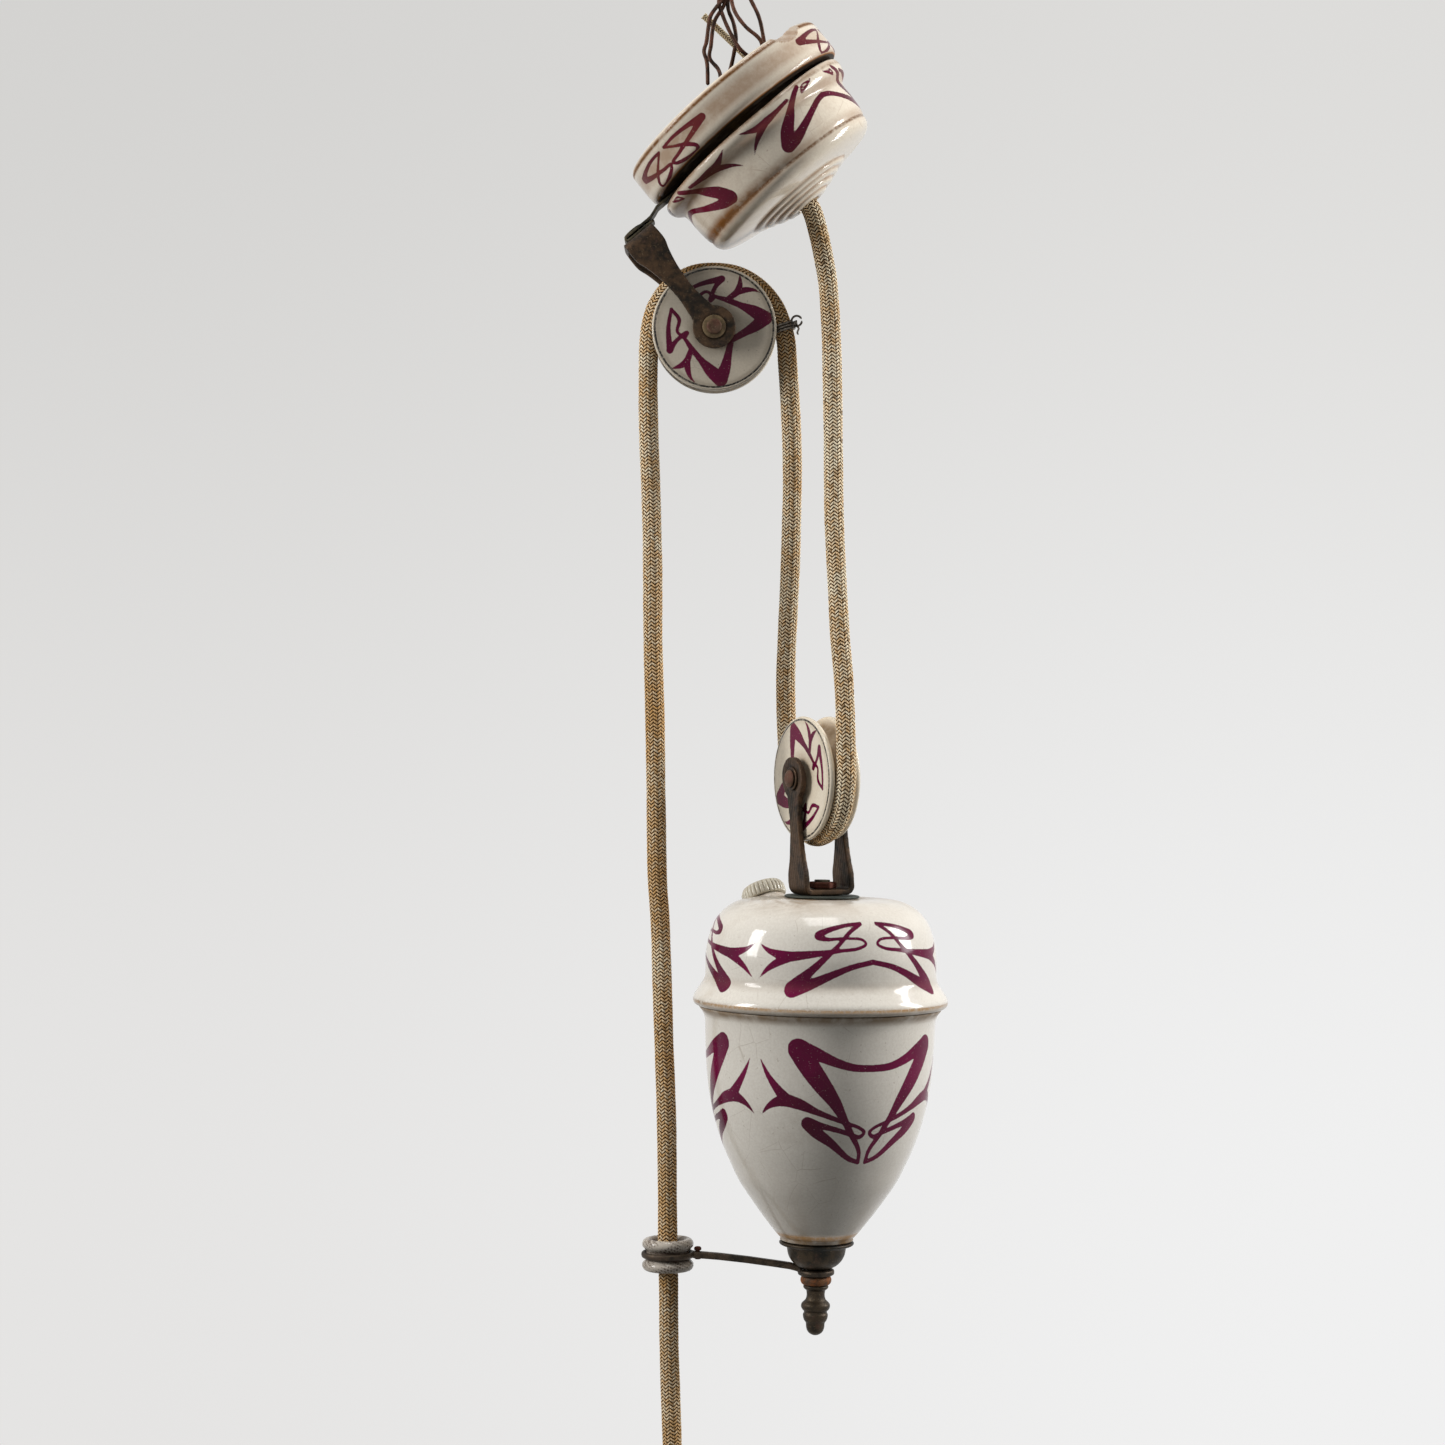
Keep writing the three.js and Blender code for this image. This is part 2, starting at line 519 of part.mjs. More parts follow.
const washerTop = gap + forkWasher.thick;
const forkFoot = washerTop + gap;
const forkTop = forkFoot + yoke.thick;
const seam = -weight.capHeight;
const bodyTop = seam - gap;
const bodyLow = bodyTop - weight.bodyHeight;
const cupTop = bodyLow - gap;
const armLevel = cupTop - arm.drop;
const rodLow = armLevel - 12;

function makeFork() {
  const height = lowerPulley[2] - weight.top[2] - forkFoot;
  const lean = (lowerPulley[0] - weight.top[0]) / height; // the legs stand out of plumb, foot flat
  const fork = bentYoke(height, weight.rodRadius + gap).rotateX(Math.PI).rotateZ(lowerPulleyTurn);
  fork.applyMatrix4(new THREE.Matrix4().makeShear(0, 0, 0, 0, lean, 0));
  const mesh = add(part, 'lower_fork', fork, 'bronze');
  mesh.position.set(weight.top[0], weight.top[1], weight.top[2] + forkFoot);

  const w = weightGroup;
  add(w, 'fork_washer', ring(weight.rodRadius + gap, forkWasher.radius, gap, washerTop, 32), 'iron');
  add(w, 'fork_nut', hexNut(forkNut.radius, weight.rodRadius + gap, forkTop + 2 * gap,
    forkTop + 2 * gap + forkNut.height), 'rust');
  add(w, 'tie_rod', rod(weight.rodRadius, rodLow, forkTop + 2 * gap + forkNut.height + 1, 20), 'iron');
}

function fillerPlaced(geometry) {
  const turn = new THREE.Matrix4().makeRotationY(filler.tilt);
  return geometry.applyMatrix4(turn).translate(filler.radius, 0, filler.seat).rotateZ(filler.azimuth);
}

// The urn's curve from its belly to its neck: share of the body's height, share of the way in.
const urn = [[0.185, 0.011], [0.3, 0.037], [0.43, 0.1], [0.57, 0.222], [0.674, 0.356], [0.743, 0.459],
  [0.82, 0.613], [0.931, 0.858], [1, 1]];

function makeWeight() {
  const { wall, rodRadius, spigot, shoulderRadius: s, rimRadius, bellyRadius, neckRadius,
    crownRadius } = weight;
  const hole = rodRadius + 0.8;
  const inside = s - wall;
  const outer = [[hole, 0], [crownRadius - 9, 0], [crownRadius, -0.3], [s - 16.5, -1.1], [s - 12, -2.9],
    [s - 8.3, -5.4], [s - 5.6, -8.3], [s - 3.3, -12], [s - 1.1, -18.9], [s, -27.9], [s, seam + 13.9],
    [s + 1.3, seam + 10.3], [rimRadius - 2, seam + 7.2], [rimRadius - 0.2, seam + 4.2],
    [rimRadius, seam + 2.6], [rimRadius - 0.5, seam + 1], [rimRadius - 2.3, seam]];
  const inner = [[inside + gap, seam], [inside + gap, seam + 12], [inside, seam + 18], [inside - 1.5, -20],
    [inside - 5, -13], [inside - 10, -8.4], [inside - 17, -wall - 0.6], [hole, -wall]];
  const dome = turned([...outer, ...inner], 40);
  const boss = fillerPlaced(rod(filler.bossRadius, -3.5, filler.boss, 28));
  const bore = fillerPlaced(rod(filler.bore, -14, filler.boss + 3, 20));
  add(weightGroup, 'weight_cap', cut(joined(dome, boss), bore), 'porcelain');

  const curve = (from, inwards) => urn.map(([t, share]) => [
    from - inwards - (bellyRadius - neckRadius) * share,
      bodyTop - weight.bodyHeight * t + inwards * 0.7 * t]);
  const outside = [[rimRadius - 2.7, bodyTop], [rimRadius - 3.4, bodyTop - 1.2],
    [bellyRadius + 0.5, bodyTop - 4], [bellyRadius, bodyTop - 6.6], ...curve(bellyRadius, 0)];
  const bowl = curve(bellyRadius, wall).filter(([r]) => r > hole + 2);
  const floor = bodyLow + 2 * wall;
  const spigotTop = bodyTop + spigot;
  const body = turned([[inside - 4, spigotTop], [inside - gap, spigotTop], [inside - gap, bodyTop],
    ...outside, [hole, bodyLow], [hole, floor], ...bowl.reverse(), [inside - 4, bodyTop - 6]], 40);
  add(weightGroup, 'weight_body', body, 'porcelain');

  const top = seam - ballast.below;
  const fill = curve(bellyRadius, wall + ballast.gap).filter(([r, z]) => r > hole + 9 && z < top - 2)
    .reverse();
  const widest = fill[fill.length - 1][0];
  add(weightGroup, 'ballast', turned([[hole + 1, fill[0][1]], ...fill, [widest, top], [hole + 1, top]],
    24), 'lead');

  const ribs = [];
  for (let i = 0; i < 2 * filler.ribs; i += 1) {
    const angle = (Math.PI * i) / filler.ribs;
    const r = filler.capRadius - (i % 2 ? 0.5 : 0);
    ribs.push(new THREE.Vector2(r * Math.cos(angle), r * Math.sin(angle)));
  }
  const capLow = filler.boss + gap;
  const knurl = new THREE.ExtrudeGeometry(new THREE.Shape(ribs),
    { depth: filler.capHeight - 2, bevelEnabled: false })
    .translate(0, 0, capLow);
  const crown = turned([[0, capLow + filler.capHeight - 2.5],
    [filler.capRadius - 0.6, capLow + filler.capHeight - 2.5],
    [filler.capRadius - 0.9, capLow + filler.capHeight - 1.2],
    [filler.capRadius - 2.6, capLow + filler.capHeight - 0.3], [0, capLow + filler.capHeight]], 40);
  const plug = rod(filler.bore - gap, capLow - filler.plug, capLow + 1, 20);
  add(weightGroup, 'filler_cap', fillerPlaced(joined(knurl, crown, plug)), 'resin');
}

function makeFinial() {
  const bore = weight.rodRadius + gap;
  const eyeTop = armLevel + arm.height / 2;
  const eyeLow = armLevel - arm.height / 2;
  add(weightGroup, 'finial_cup', turned([[bore, cupTop], [16.2, cupTop], [16.9, cupTop - 0.9],
    [16.2, cupTop - 1.8], [13.4, cupTop - 2.6], [12.9, cupTop - 5], [12.2, cupTop - 8],
    [9.2, cupTop - 11], [6.6, eyeTop + gap], [bore, eyeTop + gap]], 28), 'bronze');
  const nutTop = eyeLow - gap;
  add(weightGroup, 'finial_nut', turned([[bore, nutTop], [6.4, nutTop], [7, nutTop - 1.2], [7, nutTop - 2.6],
    [6.2, nutTop - 3.8], [bore, nutTop - 3.8]], 18), 'rust');
  const top = nutTop - 3.8 - gap;
  const socket = rodLow - gap;
  add(weightGroup, 'finial', turned([[0, socket], [bore, socket], [bore, top], [5.4, top],
    [5.6, top - 1.4], [4.5, top - 2], [4.1, top - 5], [4.7, top - 7], [6, top - 8], [6.5, top - 9.6],
    [5.9, top - 11.4], [5.2, top - 12], [5.5, top - 13.6], [5, top - 16], [4.4, top - 17.4],
    [3.7, top - 20.4], [2, top - 22.2], [0, top - 22.7]], 18), 'bronze');
}

// ---------------------------------------------------------------- guide arm and ring

function makeGuide() {
  const { centre, radius, height, bore, mouth, grooveRadius, groove } = guide;
  const half = height / 2;
  const side = [[bore, half - 4], [mouth - 1.4, half - 1.2], [mouth + 0.4, half], [radius - 1, half - 0.2],
    [radius, half - 1.4], [radius, groove / 2 + 1], [grooveRadius, groove / 2]];
  const profile = [...side, ...side.map(([r, z]) => [r, -z]).reverse()];
  add(part, 'guide_ring', turned(profile, 24).translate(...centre), 'greyPorcelain');

  const eyeCentre = [weight.top[0] + armLevel * Math.sin(weight.lean), 0, weight.top[2] + armLevel];
  const loopInner = grooveRadius + 0.5;
  const loopOuter = loopInner + arm.thick;
  const loopRing = ring(loopInner, loopOuter, -arm.height / 2, arm.height / 2, 30).translate(...centre);
  const eyeDisc = rod(arm.eyeRadius, -arm.height / 2, arm.height / 2, 24).translate(...eyeCentre);
  const from = centre[0] + loopInner + 0.8;
  const to = eyeCentre[0] - arm.eyeRadius + 1.5;
  const rise = (t) => centre[2] + (eyeCentre[2] - centre[2]) * (0.25 * t + 0.75 * t * t);
  const strip = [];
  const steps = 10;
  for (let i = 0; i <= steps; i += 1) strip.push([from + ((to - from) * i) / steps,
    rise(i / steps) + arm.height / 2]);
  for (let i = steps; i >= 0; i -= 1) strip.push([from + ((to - from) * i) / steps,
    rise(i / steps) - arm.height / 2]);
  const hole = rod(weight.rodRadius + gap, -6, 6, 24).rotateY(weight.lean).translate(...eyeCentre);
  const rivetAt = [from + 2.6, 0, centre[2]];
  const rivetHole = rod(1.2, -6, 6, 12).translate(...rivetAt);
  const body = joined(loopRing, plateXZ(strip, 4.4), eyeDisc);
  add(part, 'guide_arm', cut(body, hole, rivetHole), 'bronze');
  const above = arm.height / 2 + 0.5;
  const pin = turned([[0, -above - 0.8], [1.8, -above - 0.6], [1.8, -above], [0.9, -above], [0.9, above],
    [arm.rivetRadius, above], [arm.rivetRadius, above + arm.rivetHeight - 1.6],
    [0, above + arm.rivetHeight - 1]], 12);
  add(part, 'arm_rivet', pin.translate(...rivetAt), 'rust');
}

// ---------------------------------------------------------------- cord, stop, leads and the lamp's grip

function makeCords() {
  const route = curveThrough([...runA, ...loop, ...runB, ...arch, ...runC]);
  route.arcLengthDivisions = 2000;
  const count = runA.length + loop.length + runB.length + arch.length + runC.length;
  const lengths = route.getLengths();
  const total = lengths[lengths.length - 1];
  const shareAt = (index) => lengths[Math.round((index / (count - 1)) * route.arcLengthDivisions)] / total;
  const afterLoop = runA.length + loop.length;
  const archStart = afterLoop + runB.length;
  const archEnd = archStart + arch.length;
  const stretches = [ // name, first and last point of the route, steps
    ['cord_run_a', 0, runA.length, 18],
    ['cord_loop', runA.length, afterLoop - 1, 16],
    ['cord_run_b', afterLoop - 1, afterLoop + 7, 9],
    ['cord_run_b_top', afterLoop + 7, archStart + 1, 8],
    ['cord_arch', archStart + 1, archEnd, 18],
    ['cord_run_c_top', archEnd, archEnd + 3, 6],
    ['cord_run_c', archEnd + 3, count - 1, 24],
  ];
  stretches.forEach(([name, first, last, steps]) => {
    const from = shareAt(first) + (first ? gap / 2 / total : 0);
    const to = shareAt(last) - gap / 2 / total;
    add(part, name, swept(new Stretch(route, from, to), cord.radius, steps, cord.sides), 'braid');
  });
}

function makeStop() {
  const inner = cord.radius + 0.35;
  const outer = inner + stop.wire;
  const outline = [];
  for (let i = 0; i <= 16; i += 1) {
    const angle = -stop.reach + (2 * stop.reach * i) / 16;
    outline.push(new THREE.Vector2(outer * Math.cos(angle), outer * Math.sin(angle)));
  }
  for (let i = 16; i >= 0; i -= 1) {
    const angle = -stop.reach + (2 * stop.reach * i) / 16;
    outline.push(new THREE.Vector2(inner * Math.cos(angle), inner * Math.sin(angle)));
  }
  const band = new THREE.ExtrudeGeometry(new THREE.Shape(outline),
    { depth: stop.height, bevelEnabled: false })
    .translate(0, 0, -stop.height / 2);
  const wireEye = new THREE.TorusGeometry(stop.eye, stop.wire / 2 + 0.1, 8, 16).rotateX(Math.PI / 2)
    .translate(outer + stop.eye - 0.3, 0, 1);
  const mesh = add(part, 'stop_wire', joined(band, wireEye), 'iron');
  mesh.position.set(...stop.centre);
  mesh.rotation.y = -stop.lean;
}

function makeLeads() {
  add(part, 'insulated_lead', swept(curveThrough(insulatedLead), 1.5, 14, 8), 'insulation');
}

function makeGrip() {
  const group = new THREE.Group();
  group.position.set(...grip.top);
  group.rotation.y = -grip.lean;
  part.add(group);
  const bore = cord.radius + 0.5;
  const low = -grip.length;
  const socket = low + 4;
  const bell = turned([[bore, 0], [grip.neck - 0.4, 0], [grip.neck, -0.6], [grip.neck + 0.8, -7],
    [grip.radius - 2, -13], [grip.radius, -17], [grip.radius, low + 1], [grip.radius - 1, low],
    [grip.tubeRadius + gap, low], [grip.tubeRadius + gap, socket], [bore, socket]], 24);
  add(group, 'lamp_cord_grip', bell, 'bronze');
  const nutTop = low - gap;
  const nutLow = nutTop - grip.nutHeight;
  add(group, 'lamp_grip_nut', hexNut(grip.nutRadius, grip.tubeRadius + gap, nutLow, nutTop), 'brass');
  const tubeLow = nutLow - gap;
  add(group, 'lamp_flange', turned([[grip.tubeBore, socket - gap], [grip.tubeRadius, socket - gap],
    [grip.tubeRadius, tubeLow], [grip.flangeRadius - 1, tubeLow], [grip.flangeRadius, tubeLow - 1],
    [grip.flangeRadius, tubeLow - grip.flangeThick], [grip.tubeBore, tubeLow - grip.flangeThick]], 30),
    'brass');
}

makeCeiling();
makeRoseRing();
makeRoseCover();
makeStrap();
makeRoseInside();
makeUpperPulley();
makeLowerPulley();
makeFork();
makeWeight();
makeFinial();
makeGuide();
makeCords();
makeStop();
makeLeads();
makeGrip();

export default part;
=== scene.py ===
# Rise-and-fall lamp suspension: a porcelain ceiling rose, two porcelain pulleys and a porcelain
# counterweight on one braided cotton cord. Shapes are worked out in millimetres and placed in metres.
import math
import bpy
import bmesh
import numpy as np
from mathutils import Matrix, Vector


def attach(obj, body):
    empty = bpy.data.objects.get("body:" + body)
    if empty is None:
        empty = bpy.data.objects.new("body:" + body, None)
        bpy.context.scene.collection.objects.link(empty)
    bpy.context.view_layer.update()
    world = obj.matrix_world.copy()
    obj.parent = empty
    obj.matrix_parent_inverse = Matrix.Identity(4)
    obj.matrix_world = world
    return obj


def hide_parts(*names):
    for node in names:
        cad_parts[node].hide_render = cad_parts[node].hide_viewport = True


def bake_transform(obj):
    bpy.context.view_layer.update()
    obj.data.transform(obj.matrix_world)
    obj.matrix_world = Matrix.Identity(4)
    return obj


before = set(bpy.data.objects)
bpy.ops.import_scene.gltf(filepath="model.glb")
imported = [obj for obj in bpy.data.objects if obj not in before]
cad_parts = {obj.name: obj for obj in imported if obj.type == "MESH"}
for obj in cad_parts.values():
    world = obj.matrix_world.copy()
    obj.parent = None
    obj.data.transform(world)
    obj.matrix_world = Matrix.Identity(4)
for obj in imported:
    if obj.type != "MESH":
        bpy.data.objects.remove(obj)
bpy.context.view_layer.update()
scene = bpy.context.scene
print("frame loaded:", len(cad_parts), "nodes")

cameraSettings = {"place": (-0.0056, -1.386, -0.395), "lens": 76.7, "sensor": 36.0}
cameraData = bpy.data.cameras.new("camera")
cameraData.lens = cameraSettings["lens"]
cameraData.sensor_width = cameraSettings["sensor"]
camera = bpy.data.objects.new("camera", cameraData)
camera.location = cameraSettings["place"]
camera.rotation_euler = (math.pi / 2, 0, 0)
scene.collection.objects.link(camera)
scene.camera = camera

# Places of the tilted groups.
mm = 0.001
roseTilt = math.radians(39.6)
forkTurn = math.radians(-64)


def at(x, y, z):
    return Matrix.Translation((x * mm, y * mm, z * mm))


rosePlace = at(-6.2, 0, -114.4) @ Matrix.Rotation(-roseTilt, 4, "Y")
yokePlace = rosePlace @ at(-68.65, 0, -24.1)
upperYokeLength = 54
upperAxlePlace = yokePlace @ at(0, 0, -upperYokeLength) @ Matrix.Rotation(roseTilt, 4, "Y")
lowerAxlePlace = at(36.7, 0, -420.2) @ Matrix.Rotation(forkTurn, 4, "Z")
weightPlace = at(39.15, 0, -474) @ Matrix.Rotation(math.radians(0.9), 4, "Y")
gripPlace = at(-27.2, 0, -768) @ Matrix.Rotation(math.radians(-1.1), 4, "Y")
alongAxle = Matrix.Rotation(math.pi / 2, 4, "X")  # lays a shape turned about Z along an axle


# A rounded line through the points.
def smoothThrough(points, perSpan=12):
    p = np.array(points, float)
    p = np.vstack([2 * p[0] - p[1], p, 2 * p[-1] - p[-2]])
    rows = []
    for a, b, c, d in zip(p, p[1:], p[2:], p[3:]):
        before, span, after = (max(np.linalg.norm(v) ** 0.5, 1e-6) for v in (b - a, c - b, d - c))
        leave = ((b - a) / before - (c - a) / (before + span) + (c - b) / span) * span
        arrive = ((c - b) / span - (d - b) / (span + after) + (d - c) / after) * span
        t = np.linspace(0, 1, perSpan, endpoint=False)[:, None]
        rows.append(b + leave * t + (3 * (c - b) - 2 * leave - arrive) * t ** 2
                    + (2 * (b - c) + leave + arrive) * t ** 3)
    return np.vstack(rows + [p[-2][None]])


def stepsOf(points):
    return np.linalg.norm(np.diff(points, axis=0), axis=1)


def summed(steps):
    return np.concatenate([[0], np.cumsum(steps)])


def pointsAt(points, known, wanted):
    return np.stack([np.interp(wanted, known, column) for column in points.T], axis=1)


# The same line with its points a step apart; the step may depend on where the line is.
def evenly(points, step):
    p = np.asarray(points, float)
    gone = summed(stepsOf(p))
    if callable(step):
        p = pointsAt(p, gone, np.linspace(0, gone[-1], int(gone[-1] / 0.1) + 2))
        middle = (p[1:] + p[:-1]) / 2
        gone, step = summed(stepsOf(p) / step(middle[:, 0], middle[:, 1])), 1
    return pointsAt(p, gone, np.linspace(0, gone[-1], max(int(round(gone[-1] / step)), 2) + 1))


def closedLine(points, step):
    return evenly(np.vstack([points, points[:1]]), step)[:-1]


def mirroredBack(line):
    return [(x, -z) for x, z in line[::-1]]


def clamp(values, low=0, high=1):
    return np.clip(values, low, high)


# Distance from Z, and the angle round it in degrees.
def reachOf(p):
    return np.hypot(p[:, 0], p[:, 1])


def turnOf(p):
    return np.degrees(np.arctan2(p[:, 1], p[:, 0]))


# A few sine waves of the given lengths added up, between about -1 and 1.
def wave(values, seed, *lengths):
    total = 0
    for k, length in enumerate(lengths):
        total = total + np.sin(values * 2 * math.pi / length + seed * 1.7 + k * 2.3) / (k + 1)
    return total / len(lengths)


def coordinatesOf(mesh):
    flat = np.empty(len(mesh.vertices) * 3, np.float32)
    mesh.vertices.foreach_get("co", flat)
    return flat.reshape(-1, 3).astype(float)


def setCoordinates(mesh, points):
    mesh.vertices.foreach_set("co", np.ascontiguousarray(points, np.float32).ravel())
    mesh.update()


def addMarks(mesh, marks):
    for name, values in marks.items():
        layer = mesh.attributes.get(name) or mesh.attributes.new(name, "FLOAT", "POINT")
        layer.data.foreach_set("value", np.ascontiguousarray(values, np.float32))


def pieceFrom(bm, name, place, shape=None, marks=None, crease=None):
    mesh = bpy.data.meshes.new(name)
    bm.to_mesh(mesh)
    bm.free()
    if shape:
        setCoordinates(mesh, shape(coordinatesOf(mesh)))
    if marks:
        addMarks(mesh, marks(coordinatesOf(mesh)))
    mesh.transform(place @ Matrix.Scale(mm, 4))
    mesh.shade_smooth()
    if crease:
        mesh.set_sharp_from_angle(angle=math.radians(crease))
    piece = bpy.data.objects.new(name, mesh)
    scene.collection.objects.link(piece)
    return piece


# A turned shape about Z from its radius and height line.
def spun(name, line, steps, place, closed=False, shape=None, marks=None, crease=None):
    bm = bmesh.new()
    points = [bm.verts.new((max(r, 0), 0, z)) for r, z in line]
    edges = [bm.edges.new(pair) for pair in zip(points, points[1:])]
    if closed:
        edges.append(bm.edges.new((points[-1], points[0])))
    bmesh.ops.spin(bm, geom=points + edges, cent=(0, 0, 0), axis=(0, 0, 1), angle=2 * math.pi, steps=steps,
                   use_merge=True)
    bmesh.ops.remove_doubles(bm, verts=bm.verts, dist=1e-3)
    bmesh.ops.recalc_face_normals(bm, faces=bm.faces)
    return pieceFrom(bm, name, place, shape, marks, crease)


# A closed skin over rings of points, given as rows x around x 3 in millimetres.
def skin(name, rings, place=Matrix.Identity(4), along=None, marks=None, crease=None):
    rows, around = rings.shape[:2]
    bm = bmesh.new()
    bmesh.ops.create_grid(bm, x_segments=around, y_segments=rows - 1, size=0.5)
    mesh = bpy.data.meshes.new(name)
    bm.to_mesh(mesh)
    bm.free()
    flat = coordinatesOf(mesh)
    low, high = flat.min(axis=0), flat.max(axis=0)
    column = np.rint((flat[:, 0] - low[0]) / (high[0] - low[0]) * around).astype(int)
    row = np.rint((flat[:, 1] - low[1]) / (high[1] - low[1]) * (rows - 1)).astype(int)
    setCoordinates(mesh, rings[row, column % around])
    if marks:
        addMarks(mesh, {key: values[row] for key, values in marks.items()})
    if along is not None:
        corners = np.empty(len(mesh.loops), np.int32)
        mesh.loops.foreach_get("vertex_index", corners)
        lay = mesh.uv_layers.new(name="lay")
        pairs = np.stack([column[corners] / around, along[row[corners]]], axis=1)
        lay.data.foreach_set("uv", np.ascontiguousarray(pairs, np.float32).ravel())
    bm = bmesh.new()
    bm.from_mesh(mesh)
    bpy.data.meshes.remove(mesh)
    bmesh.ops.remove_doubles(bm, verts=bm.verts, dist=1e-3)
    bmesh.ops.holes_fill(bm, edges=[e for e in bm.edges if e.is_boundary], sides=0)
    bmesh.ops.recalc_face_normals(bm, faces=bm.faces)
    return pieceFrom(bm, name, place, crease=crease)


# Two directions square to a line at each of its points, carried along without twisting.
def carriedFrames(line, start=(0, 1, 0)):
    heading = np.gradient(line, axis=0)
    heading /= np.linalg.norm(heading, axis=1)[:, None]
    side = np.array(start, float)
    sides = np.empty_like(line)
    for k, t in enumerate(heading):
        side = side - side.dot(t) * t
        side /= np.linalg.norm(side)
        sides[k] = side
    return sides, np.cross(heading, sides)


def tubeRings(line, radius, around, start=(0, 1, 0)):
    first, second = carriedFrames(line, start)
    angle = np.linspace(0, 2 * math.pi, around, endpoint=False)
    radius = np.broadcast_to(radius, (len(line), around))[..., None]
    return line[:, None] + radius * (np.cos(angle)[None, :, None] * first[:, None]
                                     + np.sin(angle)[None, :, None] * second[:, None])


# A wire with rounded ends and slightly uneven thickness.
def wire(name, points, radius, around=12, step=0.7, seed=0.0, uneven=0.06, place=Matrix.Identity(4)):
    line = evenly(smoothThrough(points), step)
    far = np.arange(len(line)) * step
    end = np.minimum(far, far[-1] - far)
    taper = np.sqrt(np.clip(1 - (1 - clamp(end / radius)) ** 2, 0.02, 1))
    thick = radius * taper * (1 + uneven * wave(far, seed, 5.3, 2.9, 11))
    return skin(name, tubeRings(line, thick[:, None], around), place)


def joinedAs(name, pieces):
    bm = bmesh.new()
    for piece in pieces:
        bm.from_mesh(piece.data)
        bpy.data.meshes.remove(piece.data)
    mesh = bpy.data.meshes.new(name)
    bm.to_mesh(mesh)
    bm.free()
    whole = bpy.data.objects.new(name, mesh)
    scene.collection.objects.link(whole)
    return whole


def finished(piece, body, slot, finish, *nodes):
    piece.data.materials.append(finishes[finish])
    if body:
        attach(piece, body)
    if nodes:
        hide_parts(*nodes)
    return piece


# Turns a piece from its outline of (radius, height) and dresses it. A closed outline gives a ring, rounding
# smooths the outline with that many points a span, and the rest is as for spun.
def makeTurned(name, outline, place, body, slot, finish, node, step, steps, rounding=0, closed=True, **how):
    line = smoothThrough(outline, rounding) if rounding else outline
    if step is not None:
        line = closedLine(line, step) if closed else evenly(line, step)
    finished(spun(name, line, steps, place, closed=closed, **how), body, slot, finish, node)


unpainted = -6.0  # the ornament's depth where nothing is painted


# How far inside the painted strokes each point lies, in millimetres; less than nothing outside them.
# A stroke is a list of (across, down, width), and unit turns its across values to millimetres.
def paintedDepth(across, down, strokes, unit=1.0, bold=1.0):
    inside = np.full(len(across), unpainted)
    reach = 5.0
    for stroke in strokes:
        line = evenly(smoothThrough(np.array(stroke, float) * (unit, 1, 0.5 * bold), 8), 0.25)
        low, high = line.min(axis=0) - reach, line.max(axis=0) + reach
        near = np.flatnonzero((across > low[0]) & (across < high[0]) & (down > low[1]) & (down < high[1]))
        for part in np.array_split(near, len(near) // 4000 + 1):
            apart = np.hypot(across[part, None] - line[:, 0], down[part, None] - line[:, 1])
            inside[part] = np.maximum(inside[part], (line[:, 2] - apart).max(axis=1))
    return inside


# The angle from the nearest of several centre lines, in degrees, without its side.
def mirroredAngle(angle, centres):
    apart = [np.abs((angle - centre + 180) % 360 - 180) for centre in centres]
    return np.minimum.reduce(apart)


def band(values, centre, halfWidth, soft):
    return clamp((halfWidth + soft - np.abs(values - centre)) / soft)


# Short calls for the nodes of one tree. A value is a number, a colour or another node's output.
class nodeTools:
    def __init__(self, tree):
        self.tree = tree

    def make(self, kind, values=None, **settings):
        made = self.tree.nodes.new("ShaderNode" + kind)
        for name, value in settings.items():
            setattr(made, name, value)
        for socket, value in (values or {}).items():
            if isinstance(value, bpy.types.NodeSocket):
                self.tree.links.new(value, made.inputs[socket])
            else:
                made.inputs[socket].default_value = value
        return made

    # One step with a single value, or a chain of steps with more.
    def maths(self, operation, first, *others):
        for second in [{1: other} for other in others] or [{}]:
            first = self.make("Math", {0: first, **second}, operation=operation).outputs[0]
        return first

    def times(self, *values):
        return self.maths("MULTIPLY", *values)

    def plus(self, *values):
        return self.maths("ADD", *values)

    def most(self, *values):
        return self.maths("MAXIMUM", *values)

    def ease(self, value, low, high, first=0.0, last=1.0):
        values = dict(enumerate((value, low, high, first, last)))
        return self.make("MapRange", values, interpolation_type="SMOOTHSTEP").outputs[0]

    def noise(self, place, scale, detail=3.0, roughness=0.55):
        values = {"Vector": place, "Scale": scale, "Detail": detail, "Roughness": roughness}
        return self.make("TexNoise", values).outputs[0]

    def mixed(self, share, first, second):
        return self.make("Mix", {0: share, 6: first, 7: second}, data_type="RGBA").outputs[2]

    def give(self, sockets, values):
        for title, value in values.items():
            self.tree.links.new(value, sockets[title])

    # How much of a ray comes from the camera, a reflection or glass.
    def seenRays(self):
        rays = self.make("LightPath").outputs
        return self.most(rays["Is Camera Ray"], rays["Is Glossy Ray"], rays["Is Transmission Ray"])


# A colour written as sRGB numbers up to 255.
def colour(red, green, blue):
    parts = [value / 255 for value in (red, green, blue)]
    parts = [value / 12.92 if value <= 0.04045 else ((value + 0.055) / 1.055) ** 2.4 for value in parts]
    return (*parts, 1.0)


def groupOf(name, inputs, outputs):
    tree = bpy.data.node_groups.new(name, "ShaderNodeTree")
    for title, value in inputs.items():
        kind = "Vector" if value is None else "Color" if isinstance(value, tuple) else "Float"
        socket = tree.interface.new_socket(title, in_out="INPUT", socket_type="NodeSocket" + kind)
        if value is not None:
            socket.default_value = value
    for title in outputs:
        kind = "Color" if title == "Color" else "Float"
        tree.interface.new_socket(title, in_out="OUTPUT", socket_type="NodeSocket" + kind)
    return nodeTools(tree), tree.nodes.new("NodeGroupInput").outputs, tree.nodes.new("NodeGroupOutput").inputs


